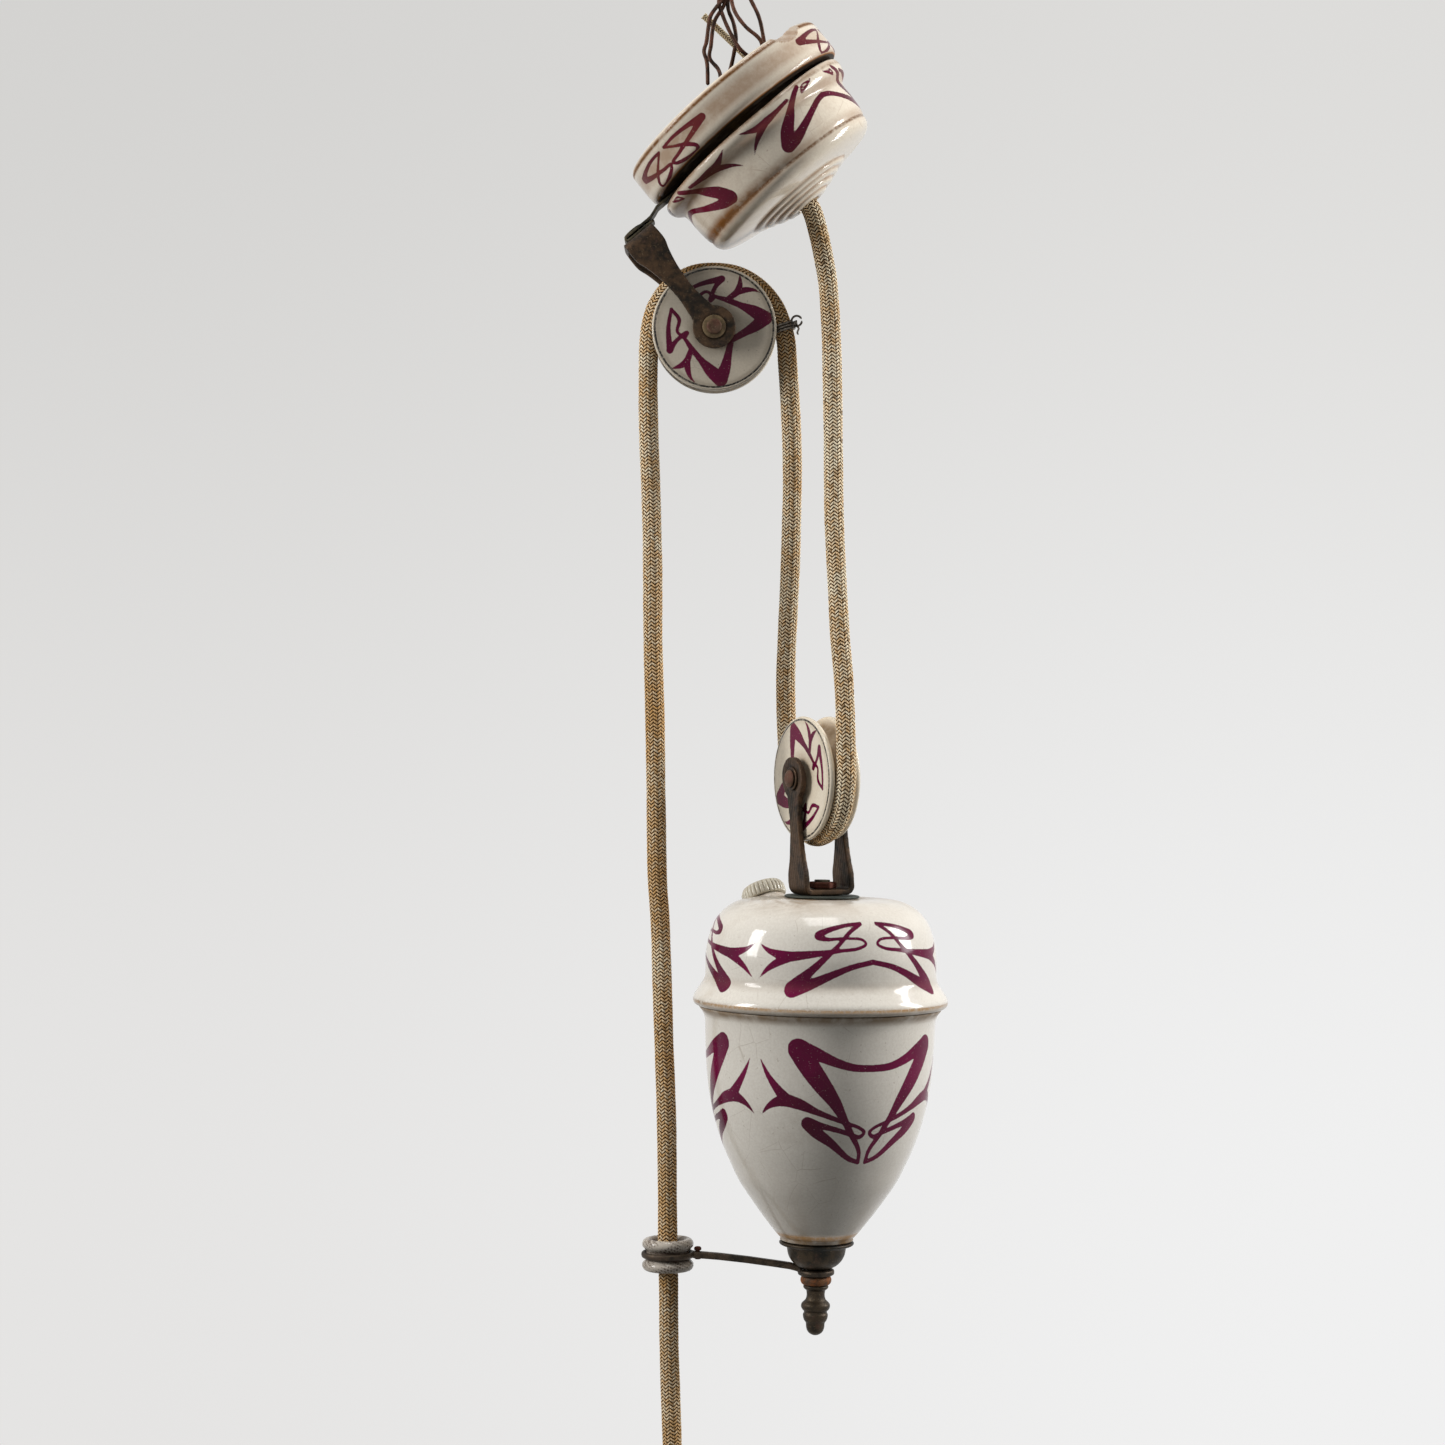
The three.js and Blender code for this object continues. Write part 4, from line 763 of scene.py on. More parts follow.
# A bent flat bar with rounded edges. path runs along the bar's middle, width gives the half width at each
# of its points, widthWay is the direction of the width, and press sinks places of the bar along its normal.
def bentBar(name, path, width, thick, widthWay, place, edge=0.45, press=None):
    heading = np.gradient(path, axis=0)
    heading /= np.linalg.norm(heading, axis=1)[:, None]
    widthWay = np.array(widthWay, float)
    normal = np.cross(heading, widthWay)
    arc = np.linspace(0, math.pi / 2, 4)
    flat = np.linspace(1, -1, 28)
    rings = []
    for middle, way, half in zip(path, normal, width):
        corner = min(edge, half * 0.8, thick * 0.45)
        reach, rise = half - corner, thick / 2 - corner
        top = [(reach * f, thick / 2) for f in flat]
        left = [(-reach - corner * math.sin(a), rise + corner * math.cos(a)) for a in arc[1:]]
        left += [(-reach - corner * math.cos(a), -rise - corner * math.sin(a)) for a in arc]
        bottom = [(-reach * f, -thick / 2) for f in flat[1:]]
        right = [(reach + corner * math.sin(a), -rise - corner * math.cos(a)) for a in arc[1:]]
        right += [(reach + corner * math.cos(a), rise + corner * math.sin(a)) for a in arc[:-1]]
        section = np.array(top + left + bottom + right)
        points = middle + section[:, :1] * widthWay + section[:, 1:] * way
        if press is not None:
            points = points + way * press(points)[:, None]
        rings.append(points)
    return skin(name, np.array(rings), place)


strapSettings = {"width": 12, "thick": 1.2, "step": 0.45, "corner": 1.2, "edge": 0.3, "fold": (-72.9, -22.3),
                 "foldRadius": 0.9, "under": [(-66, -23.2), (-62, -23.2), (-58.4, -23.2)],
                 "over": [(42.8, -19.5), (20, -19.5), (0, -19.5), (-30, -19.5), (-52, -19.5), (-53.6, -19.6),
                          (-56, -20.5), (-58.6, -21.3), (-60.4, -21.4), (-66, -21.4)]}


def makeStrap():
    s = strapSettings
    (x, z), r = s["fold"], s["foldRadius"]
    fold = [(x - r * math.sin(a), z + r * math.cos(a)) for a in np.linspace(0, math.pi, 9)]
    path = evenly(np.array(s["over"] + fold + s["under"], float), s["step"])
    path = np.stack([path[:, 0], np.zeros(len(path)), path[:, 1]], axis=1)
    end = np.minimum(np.arange(len(path)), np.arange(len(path))[::-1]) * s["step"]
    width = s["width"] / 2 - s["corner"] * (1 - np.sqrt(clamp(end / s["corner"])))
    piece = bentBar("hangerStrap", path, width, s["thick"], (0, 1, 0), rosePlace, edge=s["edge"])
    finished(piece, "rose_assembly", "dark_iron", "strapIron", "hanger_strap")


yokeSettings = {"middle": 11.3, "bend": 2.7, "thick": 2.6, "edge": 0.55, "lug": 9.6, "dish": 0.55,
                "dishRadius": 7.0, "bridge": -1.3, "bendTop": -4, "step": 0.6, "hammering": 0.1,
                "sides": [(0, 8), (9.5, 8.1), (14.4, 6.6), (22.5, 4.9), (33.3, 4.1)]}
forkSettings = {"length": 52.2, "drift": -2.45, "foot": (39.15, 0, -472.4)}


# A yoke hanging from its bridge, with round lugs at the ends of its legs.
def bentYoke(name, length, place, seed):
    s = yokeSettings
    middle, bend, lug = s["middle"], s["bend"], s["lug"]
    low = [length + lug * math.sin(a) for a in np.linspace(0, math.pi / 2, 26)]
    leg = np.concatenate([np.arange(-s["bendTop"], length, s["step"]), low])
    turn = np.linspace(0, math.pi / 2, 8)[1:-1]
    corner = [(-middle + bend - bend * math.cos(a), s["bendTop"] + bend * math.sin(a)) for a in turn]
    bridge = [(y, s["bridge"]) for y in np.linspace(-middle + bend, middle - bend, 24)]
    half = [(-middle, -z) for z in leg[::-1]] + corner
    path = np.array(half + bridge + [(-y, z) for y, z in half[::-1]])
    sides = smoothThrough(s["sides"] + [(length - 12, 4.9), (length - lug + 1.6, 5.5)])
    depth = -path[:, 1]
    width = np.interp(depth, sides[:, 0], sides[:, 1])
    disc = np.sqrt(np.clip(lug ** 2 - (depth - length) ** 2, 0.01, None))
    width = np.where(depth > length, disc, np.where(depth > length - lug, np.maximum(width, disc), width))
    path = np.stack([np.zeros(len(path)), path[:, 0], path[:, 1]], axis=1)

    def press(points):
        apart = np.hypot(points[:, 0], points[:, 2] + length)
        sunk = clamp((s["dishRadius"] - apart) / 2.2)
        hammered = s["hammering"] * wave(points[:, 2] + 3 * points[:, 0], seed, 6.3, 2.9)
        return s["dish"] * sunk * sunk * (3 - 2 * sunk) + hammered

    return bentBar(name, path, width, s["thick"], (1, 0, 0), place, edge=s["edge"], press=press)


def makeYokes():
    piece = bentYoke("upperYoke", upperYokeLength, yokePlace, 1.0)
    finished(piece, "upper_yoke_assembly", "aged_bronze", "yokeBronze", "upper_yoke")
    s = forkSettings
    lean = Matrix.Identity(4)
    lean[0][2] = s["drift"] / s["length"]
    upright = Matrix.Rotation(forkTurn, 4, "Z") @ Matrix.Rotation(math.pi, 4, "X")
    piece = bentYoke("lowerFork", s["length"], at(*s["foot"]) @ lean @ upright, 2.0)
    finished(piece, "weight_frame", "aged_bronze", "yokeBronze", "lower_fork")


makeStrap()
makeYokes()
print("strap and yokes bent")

pulleySettings = {"steps": 360, "row": 0.55, "rimRow": 0.24, "radius": 27.9, "half": 7.75, "bore": 4.8,
                  "groove": 4.9, "cordRadius": 26, "line": 26.5, "hub": 13.5, "rimFrom": 25.7,
                  "paintTo": 26.2}
faceStrokes = [
    [(0, 9.4, 2.6), (26.5, 13.5, 3.4), (38.8, 18.6, 5), (47, 23.2, 6.5)],
    [(47, 23.2, 6.5), (57.4, 19.6, 5.5), (76, 15.6, 3), (102, 13.7, 2.4), (125.6, 14.2, 1.6),
     (138.5, 16.6, 1.4), (157, 16.1, 1.8), (167.7, 21, 1.5)],
    [(167.7, 21, 1.5), (144.4, 20.5, 2), (117, 22.3, 3)],
    [(117, 22.3, 3), (124.5, 18.3, 2), (134, 12.4, 2), (125, 13.9, 1.6)],
    [(102, 14, 2), (93.8, 19, 3), (95, 22.2, 2.6), (98, 24.6, 1.4), (100, 26.2, 0.4)],
    [(93.8, 19, 3), (86, 22.2, 2.6), (79.5, 24.6, 1.4), (74, 25.8, 0.4)],
]


# Strokes written as (degrees, radius, width), laid out flat.
def onDisc(strokes):
    return [[(r * math.cos(math.radians(d)), r * math.sin(math.radians(d)), w) for d, r, w in stroke]
            for stroke in strokes]


def makePulley(name, place, turn, finish, node, body, wornEdge):
    s = pulleySettings
    r, half, groove = s["radius"], s["half"], s["groove"]
    side = [(s["bore"], half), (12, half), (20, half), (25.6, half), (26.4, half - 0.12), (26.7, half - 0.3),
            (27, half - 0.12), (27.5, half - 0.25), (r, half - 0.9), (r, groove + 1.3),
            (r - 0.5, groove + 0.3)]
    side += [(s["cordRadius"] - groove * math.sin(math.radians(a)), groove * math.cos(math.radians(a)))
             for a in range(12, 85, 12)]

    def marks(p):
        reach, through = reachOf(p), p[:, 2]
        angle = np.radians(mirroredAngle(turnOf(p), (turn,)))
        face = np.abs(through) > half - 0.6
        depth = paintedDepth(reach * np.cos(angle), reach * np.sin(angle), onDisc(faceStrokes))
        depth[~face | (reach > s["paintTo"])] = unpainted
        ring = band(reach, s["line"], 0.36, 0.16) * face
        inGroove = clamp((r - reach - 1.2) / 3) * (np.abs(through) < groove + 0.4)
        hub = clamp((s["hub"] - reach) / 5) * face
        worn = wornEdge * band(reach, 25.6, 0.4, 1.4) * face
        return {"ornament": depth, "gold": clamp(ring * 1.4),
                "grimeandshade": clamp(0.75 * inGroove + 0.55 * hub + worn)}

    def step(x, z):
        return np.where(x > s["rimFrom"], s["rimRow"], s["row"])

    makeTurned(name, smoothThrough(side + mirroredBack(side)), place @ alongAxle, body, "glazed_porcelain",
               finish, node, step=step, steps=s["steps"], marks=marks)


axleSettings = {"radius": 2.9, "face": 13.2, "washerAt": 12.2, "washerRadius": 5.3, "washerThick": 1.0}


def makeAxle(prefix, place, body, domed, washerFinish):
    s = axleSettings
    r, face = s["radius"], s["face"]
    if domed:
        half = [(0, face + 2), (1.6, face + 1.9), (3, face + 1.5), (3.9, face + 0.8), (4.05, face + 0.35),
                (3.5, face + 0.2)]
    else:
        half = [(0, face + 0.9), (1.2, face + 1.0), (2.4, face + 1.25), (3.2, face + 1.1), (3.4, face + 0.5)]
    half += [(r, face - 0.2), (r, 6), (r, 0)]
    makeTurned(prefix + "Axle", half + mirroredBack(half)[1:], place @ alongAxle, body, "dark_iron",
               "axleIron", prefix + "_axle", step=0.45, steps=48, rounding=6, closed=False)
    near, out = s["washerAt"], s["washerRadius"]
    ring = [(3.15, near), (5, near), (out, near + 0.3), (5.2, near + 0.85), (4.7, near + s["washerThick"]),
            (3.9, near + 0.8), (3.25, near + 0.75)]
    for side, sign in (("front", 1), ("back", -1)):
        makeTurned(f"{prefix}Washer{side.title()}", closedLine(ring, 0.25) * (1, sign), place @ alongAxle,
                   body, "aged_bronze", washerFinish, f"{prefix}_washer_{side}", step=None, steps=64,
                   crease=50)


rivetOutline = [(0, 4.3), (2.6, 4.25), (4.1, 4.1), (4.8, 3.85), (4.7, 3.5), (2.9, 3.4), (2.9, 0), (2.9, -2.7),
                (4.7, -2.8), (4.7, -3.2), (4, -4), (2.4, -4.5), (0, -4.6)]

makePulley("upperPulley", upperAxlePlace, -36, "upperPulleyGlaze", "upper_pulley", "upper_sheave", 0.35)
makePulley("lowerPulley", lowerAxlePlace, 156, "lowerPulleyGlaze", "lower_pulley", "lower_sheave", 0.2)
makeAxle("upper", upperAxlePlace, "upper_yoke_assembly", False, "washerBronze")
makeAxle("lower", lowerAxlePlace, "weight_frame", True, "yokeBronze")
makeTurned("swivelRivet", rivetOutline, yokePlace, "rose_assembly", "dark_iron", "strapIron", "swivel_rivet",
           step=0.4, steps=48, rounding=5, closed=False)
print("pulleys turned")

capSettings = {"steps": 480, "row": 0.68, "coarse": 2.2, "centres": (24, 144, -94), "bold": 1.05,
               "radius": 51, "rim": -45.9, "skin": ([0, 4, 9, 15, 21, 48], [32, 38, 43.4, 47, 49.4, 50.4])}
capOutline = [(4.3, 0), (12, 0), (20, 0), (29, -0.3), (35.5, -1.1), (40, -2.9), (43.7, -5.4), (46.4, -8.3),
              (48.7, -12), (50.9, -18.9), (51.9, -25), (52, -30), (52, -34.7), (52.3, -36.4), (53.3, -38.3),
              (55.3, -41.4), (57.1, -44.4), (57.3, -46), (56.8, -47.6), (55, -48.6), (52, -48.6)]
capInside = [(47.3, -48.6), (47.3, -36.6), (47, -30.6), (45.5, -20), (42, -13), (37, -8.4), (30, -5.6),
             (4.3, -5)]
capStrokes = [
    [(39.3, 36.9, 6.8), (31.5, 34.9, 4.6), (19.1, 30, 3), (10.4, 27, 2.4), (0, 24.9, 2.2)],
    [(39.3, 36.9, 6.8), (35.6, 33.2, 5), (31.4, 29.6, 3.6), (23.4, 22.9, 2.4), (17.1, 17.5, 1.7),
     (11.1, 12, 1.7), (4.7, 8.5, 1.6)],
    [(4.7, 8.5, 1.6), (13.6, 9.3, 1.6), (23.3, 11.6, 2.4), (27.5, 13.7, 3.2), (23.4, 15.1, 1.8),
     (14.3, 14.7, 1.2), (4.9, 15.3, 1.2), (3.1, 17.1, 1.2), (7.3, 19, 1.4), (16.3, 20, 1.6),
     (27.8, 21.4, 2.7), (41, 22.9, 4.3)],
    [(41, 22.9, 4.3), (46.4, 22.2, 3.6), (52.2, 20.7, 2.1), (57.3, 18, 0.3)],
    [(41, 22.9, 4.3), (46, 25, 3.6), (52, 28.4, 2.2), (57, 32.8, 0.3)],
]
fillerSettings = {"azimuth": 129, "tilt": 29, "radius": 39, "seat": -3.7, "boss": 1.2, "bossRadius": 9,
                  "bore": 5.6, "capRadius": 10.2, "capHeight": 7, "ribs": 30, "plug": 9,
                  "opening": 6.8, "through": 12}
fillerPlace = (weightPlace @ Matrix.Rotation(math.radians(fillerSettings["azimuth"]), 4, "Z")
               @ at(fillerSettings["radius"], 0, fillerSettings["seat"])
               @ Matrix.Rotation(math.radians(fillerSettings["tilt"]), 4, "Y"))


# The angle round a turned piece, in degrees from its front and growing to the right.
def fromFront(p):
    return np.degrees(np.arctan2(p[:, 0], -p[:, 1]))


def makeWeightCap():
    s = capSettings

    def step(r, z):
        outside = (r > 38) & (z > -48.4) & (r > 47.6 - (z > -16) * 9)
        outside &= r > 43.5 + (-z - 12) * 0.32 - (z > -12) * 20
        return np.where(outside, s["row"], s["coarse"])

    def marks(p):
        r, z, azimuth = reachOf(p), p[:, 2], fromFront(p)
        unit = math.radians(1) * s["radius"]
        depth = paintedDepth(mirroredAngle(azimuth, s["centres"]) * unit, -z, capStrokes, unit, s["bold"])
        depth[r <= np.interp(-z, *s["skin"])] = unpainted
        wear = 0.8 + 0.2 * clamp(0.5 + 0.9 * wave(azimuth, 3.0, 97, 41, 13))
        gold = band(z, s["rim"], 0.45, 0.4) * (r > 56) * wear
        # dirt in the joint, round the neck and down the dome, and dust behind the filler
        grimeandshade = 0.5 * band(z, -47.6, 0.7, 1.2) + 0.25 * band(z, -36.2, 0.8, 2.4) * (r > 50)
        grimeandshade = grimeandshade + 0.5 * clamp((23 - r) / 6) * (z > -3) + 0.22 * clamp((-1.5 - z) / -30 + 0.4)
        grimeandshade = grimeandshade + 0.35 * clamp((z + 7) / 6) * clamp(0.5 + wave(azimuth, 1.0, 113, 29))
        dusty = band(azimuth, -48, 26, 20) * clamp((45 - r) / 12) * (z > -11)
        grimeandshade = grimeandshade + 0.55 * dusty * clamp(0.45 + wave(azimuth * 1.3 + r * 7, 1.0, 23, 11, 5))
        return {"ornament": depth, "gold": gold, "grimeandshade": clamp(grimeandshade)}

    line = closedLine(np.vstack([smoothThrough(capOutline), capInside]), step)
    dome = spun("weightCap", line, s["steps"], weightPlace, closed=True, marks=marks)
    openFillerBore(dome)
    finished(joinedAs("weightCapWithBoss", [dome, fillerBoss()]), "weight_shell", "glazed_porcelain",
             "weightGlaze", "weight_cap")


# Takes the dome's faces away where the filler's bore goes through; the boss covers the edge that is left.
def openFillerBore(piece):
    toFiller = fillerPlace.inverted()
    opening, through = fillerSettings["opening"] * mm, fillerSettings["through"] * mm
    bm = bmesh.new()
    bm.from_mesh(piece.data)
    gone = []
    for face in bm.faces:
        centre = toFiller @ face.calc_center_median()
        if abs(centre.z) < through and math.hypot(centre.x, centre.y) < opening:
            gone.append(face)
    bmesh.ops.delete(bm, geom=gone, context="FACES")
    bm.to_mesh(piece.data)
    bm.free()


def fillerBoss():
    f = fillerSettings
    bore, top, out = f["bore"], f["boss"], f["bossRadius"]
    seat = [(bore, top - 0.4), (bore + 0.5, top), (7.4, top), (8.4, top - 0.2), (out, top - 0.9),
            (out + 0.3, -1), (out + 0.6, -3.4), (out, -6), (7, -8), (bore, -8)]
    return spun("fillerBoss", closedLine(seat, 0.5), 72, fillerPlace, closed=True,
                marks=lambda p: {"grimeandshade": 0.5 * band(reachOf(p), 9.3, 0.4, 0.8),
                                 "ornament": np.full(len(p), unpainted)})


bodySettings = {"steps": 480, "row": 0.7, "footRow": 1.2, "coarse": 2.6, "centres": (25, 145, -95),
                "bold": 1.3, "radius": 50, "goldLine": -150.6, "footFrom": -117,
                "skin": ([48.9, 60, 80, 94, 109, 120, 135, 147, 154],
                         [50.5, 50.2, 48.6, 46, 41.6, 37, 28, 18.5, 12.5])}
bodyOutline = [(52, -48.9), (54.6, -48.9), (54.2, -49.8), (53.2, -51), (52.4, -52.6), (51.9, -55),
               (51.7, -58), (51.6, -62), (51.3, -68.3), (50.4, -80.4), (48.2, -94), (43.9, -108.7),
               (39.2, -119.7), (35.6, -126.9), (30.2, -135), (21.6, -146.6), (17, -152), (16, -152.9),
               (16.7, -153.7), (15.5, -153.9)]
bodyInside = [(4.3, -153.9), (4.3, -144), (12, -143), (24, -131), (36, -112), (43, -92), (46, -75),
              (46.4, -58), (43, -55), (43, -43.9), (46.7, -43.9), (46.7, -48.9)]
bodyStrokes = [
    [(37.2, 62.9, 7.2), (27.6, 65.2, 4.4), (18.9, 68.4, 3.2), (10, 70.7, 2.6), (0, 71.3, 2.4)],
    [(37.2, 62.9, 7.2), (32.8, 69.1, 7), (25.9, 77.7, 6.2), (18.7, 86.2, 4.3), (13.8, 93.2, 2.8),
     (8.4, 101, 2.1), (3.2, 108, 1.7), (2.3, 113.3, 1.5)],
    [(2.3, 113.3, 1.5), (9.4, 111.1, 1.9), (20.1, 104.1, 3.1), (27.8, 99.5, 4.2), (32.4, 95.6, 4.7)],
    [(32.4, 95.6, 4.7), (26, 96.4, 2.5), (18.4, 98, 1.9), (10.6, 99.9, 1.7), (4, 101.6, 1.5),
     (1.6, 99.6, 1.3), (5, 97.3, 1.2), (10.9, 95.6, 1.4), (16.6, 93.9, 1.6), (27.7, 90.3, 2.3),
     (36.8, 87, 3.9), (43.3, 85.5, 4.5)],
    [(43.3, 85.5, 4.5), (47.4, 81.4, 3.2), (52.8, 75, 1.8), (57, 68, 0.3)],
    [(43.3, 85.5, 4.5), (47.8, 86.3, 3.4), (53.2, 88.7, 1.8), (57.6, 92.4, 0.3)],
]


def makeWeightBody():
    s = bodySettings

    def step(r, z):
        outside = r > np.interp(-z, *s["skin"])
        return np.where(outside & (z > s["footFrom"]), s["row"], np.where(outside, s["footRow"], s["coarse"]))

    def marks(p):
        r, z, azimuth = reachOf(p), p[:, 2], fromFront(p)
        unit = math.radians(1) * s["radius"]
        depth = paintedDepth(mirroredAngle(azimuth, s["centres"]) * unit, -z, bodyStrokes, unit, s["bold"])
        depth[(r < np.interp(-z, *s["skin"])) | (z > -52)] = unpainted
        # darker in the joint under the rim, above the cup and, unevenly round, towards the bottom
        grimeandshade = 0.85 * clamp((z + 53.5) / 3) + 0.7 * clamp((-148.6 - z) / 3)
        grimeandshade = grimeandshade + 0.3 * clamp((-108 - z) / 40) * clamp(0.6 + wave(azimuth, 2.0, 83, 31))
        gold = 0.8 * band(z, s["goldLine"], 0.8, 0.9) * (r > 15)
        return {"ornament": depth, "gold": gold, "grimeandshade": clamp(grimeandshade)}

    line = np.vstack([smoothThrough(bodyOutline), bodyInside])
    makeTurned("weightBody", line, weightPlace, "weight_shell", "glazed_porcelain", "weightGlaze",
               "weight_body", step=step, steps=s["steps"], marks=marks)


def makeFillerCap():
    s = fillerSettings
    low, r = s["boss"] + 0.3, s["capRadius"]
    top = low + s["capHeight"]
    line = [(0, top), (5, top - 0.1), (7.6, top - 0.35), (9, top - 0.9), (9.6, top - 1.7),
            (r - 0.3, top - 2.3), (r, top - 2.8), (r, low + 0.6), (r - 0.4, low), (7, low), (5.3, low),
            (5.3, low - 2), (5.3, low - 6), (4.6, low - s["plug"] + 0.4), (0, low - s["plug"])]

    # How near a groove between two ribs, from 1 in the groove to 0 on the rib.
    def ribSine(p):
        return np.abs(np.sin(np.radians(turnOf(p)) * s["ribs"] / 2))

    def shape(p):
        reach = reachOf(p)
        deep = 0.55 * (1 - ribSine(p) ** 0.7) ** 1.2 * clamp((reach - 9.3) / 0.4)
        cut = np.where((reach > 9.3) & (p[:, 2] > low + 0.2), deep, 0)
        return scaledOut(p, (reach - cut) / np.maximum(reach, 1e-6))

    def marks(p):
        side = (reachOf(p) > 9.2) & (p[:, 2] > low + 0.2)
        return {"grimeandshade": np.where(side, clamp(1 - ribSine(p) * 1.6), 0.1),
                "ornament": np.full(len(p), unpainted)}

    makeTurned("fillerCap", line, fillerPlace, "filler", "cast_resin", "fillerResin", "filler_cap", step=0.35,
               steps=s["ribs"] * 12, rounding=6, closed=False, shape=shape, marks=marks)


# Moves points straight out from Z by a factor.
def scaledOut(p, factor):
    return np.stack([p[:, 0] * factor, p[:, 1] * factor, p[:, 2]], axis=1)


# Turns a round nut into a six-sided one with softened corners.
def sixSided(p, inner, softness=0.25):
    turn = np.radians(turnOf(p)) % (math.pi / 3) - math.pi / 6
    flats = np.minimum(math.cos(math.pi / 6) / np.cos(turn), 1 - softness * 0.1)
    return scaledOut(p, np.where(reachOf(p) > inner, flats, 1))


washerOutline = [(3.9, 0.25), (15.8, 0.1), (16.8, 0.35), (17, 0.8), (16.6, 1.25), (15.6, 1.35), (3.9, 1.3)]
forkNutOutline = [(3.8, 4.6), (6.2, 4.5), (6.7, 5), (6.7, 6.7), (6.1, 7.3), (3.8, 7.4)]


def buckled(p):
    lift = 0.12 * wave(turnOf(p), 1.0, 120, 51) * (reachOf(p) > 14)
    return np.stack([p[:, 0], p[:, 1], p[:, 2] + np.abs(lift)], axis=1)


def rustEaten(p):
    q = sixSided(p, 4.4)
    pits = 0.16 * wave(q[:, 0] * 3 + q[:, 1] * 2 + q[:, 2] * 5, 1.0, 4.1, 1.9, 1.1) * (reachOf(q) > 4.4)
    return scaledOut(q, 1 + pits / 6)


finialSettings = {"cupTop": -154.2, "nutTop": -170.0, "top": -174.1}
cupOutline = [(3.9, -0.1), (12, 0), (15.8, 0), (16.8, -0.6), (16.7, -1.3), (15.4, -2), (13.7, -2.3),
              (13.3, -3.2), (13.1, -4.6), (12.6, -6.6), (11.4, -8.8), (9.4, -10.8), (7.5, -11.9),
              (6.6, -12.4), (3.9, -12.4)]
finialNutOutline = [(3.9, 0), (6.2, 0), (6.8, -0.8), (7, -1.9), (6.7, -3), (6, -3.8), (3.9, -3.8)]
finialOutline = [(0, 3.4), (3.6, 3.4), (3.7, 0.2), (5.3, 0), (5.7, -0.8), (5.2, -1.7), (4.4, -2.3),
                 (4.1, -3.6), (4.1, -5), (4.6, -6.6), (5.6, -7.6), (6.4, -8.6), (6.5, -9.8), (6, -11),
                 (5.3, -11.7), (5.2, -12.4), (5.6, -13.2), (5.5, -14.6), (5, -16), (4.4, -16.8), (4.2, -17.6),
                 (4.1, -19), (3.5, -20.8), (2.3, -22), (0.9, -22.6), (0, -22.7)]


def makeWeightMetal():
    s = finialSettings
    makeTurned("forkWasher", washerOutline, weightPlace, "weight_frame", "dark_iron", "verdigris",
               "fork_washer", step=0.5, steps=96, shape=buckled)
    makeTurned("forkNut", forkNutOutline, weightPlace, "weight_frame", "rusty_iron", "rustedIron", "fork_nut",
               step=0.3, steps=120, shape=rustEaten)
    makeTurned("finialCup", cupOutline, weightPlace @ at(0, 0, s["cupTop"]), "weight_frame", "aged_bronze",
               "finialBronze", "finial_cup", step=0.45, steps=120, rounding=12)
    makeTurned("finialNut", finialNutOutline, weightPlace @ at(0, 0, s["nutTop"]), "weight_frame",
               "rusty_iron", "ochreRust", "finial_nut", step=0.35, steps=96, rounding=6)
    makeTurned("finial", finialOutline, weightPlace @ at(0, 0, s["top"]), "weight_frame", "aged_bronze",
               "finialBronze", "finial", step=0.3, steps=96, rounding=6, closed=False)


makeWeightCap()
makeWeightBody()
makeFillerCap()
makeWeightMetal()
print("counterweight turned")

guideSettings = {"centre": (-30.2, 0, -634.3), "radius": 11.5, "half": 7.2, "bore": 6, "groove": 9.6}
armSettings = {"eye": (36.5, 0, -642.3), "loop": 10.1, "loopWide": 0.95, "loopHigh": 1.45, "first": 10.9,
               "last": 6.9, "width": 2.2, "thick": 3.0, "edge": 0.9, "voxel": 0.00034, "rivet": 13.45,
               "drop": ([0, 0.25, 0.5, 0.75, 0.9, 1], [0, 1, 2.4, 4.1, 5.2, 6.5])}
eyeOutline = [(3.9, -1.3), (7.4, -1.4), (8.2, -0.9), (8.3, 0), (8.2, 0.9), (7.4, 1.4), (3.9, 1.3)]
pinOutline = [(0, -2.3), (1.2, -2.2), (1.5, -2), (1.4, -1.8), (1, -1.7), (1, 1.6), (1.6, 1.9), (1.7, 2.4),
              (1.6, 3), (1.1, 3.4), (0, 3.5)]


def makeGuideRing():
    s = guideSettings
    half, r, groove = s["half"], s["radius"], s["groove"]
    side = [(s["bore"], 0), (s["bore"] + 0.1, half - 3.6), (6.9, half - 1.6), (8.2, half - 0.3), (9.4, half),
            (10.7, half - 0.5), (r, half - 1.8), (r, half - 3.2), (10.6, half - 4.4), (groove, 1.8),
            (groove, 0.6)]

    def bitten(p, least):
        return clamp(wave(turnOf(p) + p[:, 2] * 9, 2.0, 47, 19, 11) - least)

    def chipped(p):
        edge = clamp((reachOf(p) - 10) / 1.5)
        return scaledOut(p, 1 - edge * bitten(p, 0.42) * 1.5 / 12)

    def marks(p):
        turn, reach, z = turnOf(p), reachOf(p), p[:, 2]
        inner = clamp((8.4 - reach) / 2)
        waist = clamp((10.3 - reach) / 0.6) * (np.abs(z) < 3)
        spots = (np.sin(turn * 0.19 + z * 1.9) * np.sin(turn * 0.31 - z * 2.7 + reach * 1.3)
                 * np.sin(turn * 0.43 + reach * 2.1))
        return {"chip": clamp(bitten(p, 0.36) * 5 * (reach > 10)), "ornament": np.full(len(p), unpainted),
                "grimeandshade": clamp(0.75 * inner + 0.7 * waist + 0.2 + clamp(spots - 0.14) * 6)}

    makeTurned("guideRing", smoothThrough(side + mirroredBack(side)[:-1]), at(*s["centre"]), "guide",
               "chipped_porcelain", "guideGlaze", "guide_ring", step=0.45, steps=144, shape=chipped,
               marks=marks)


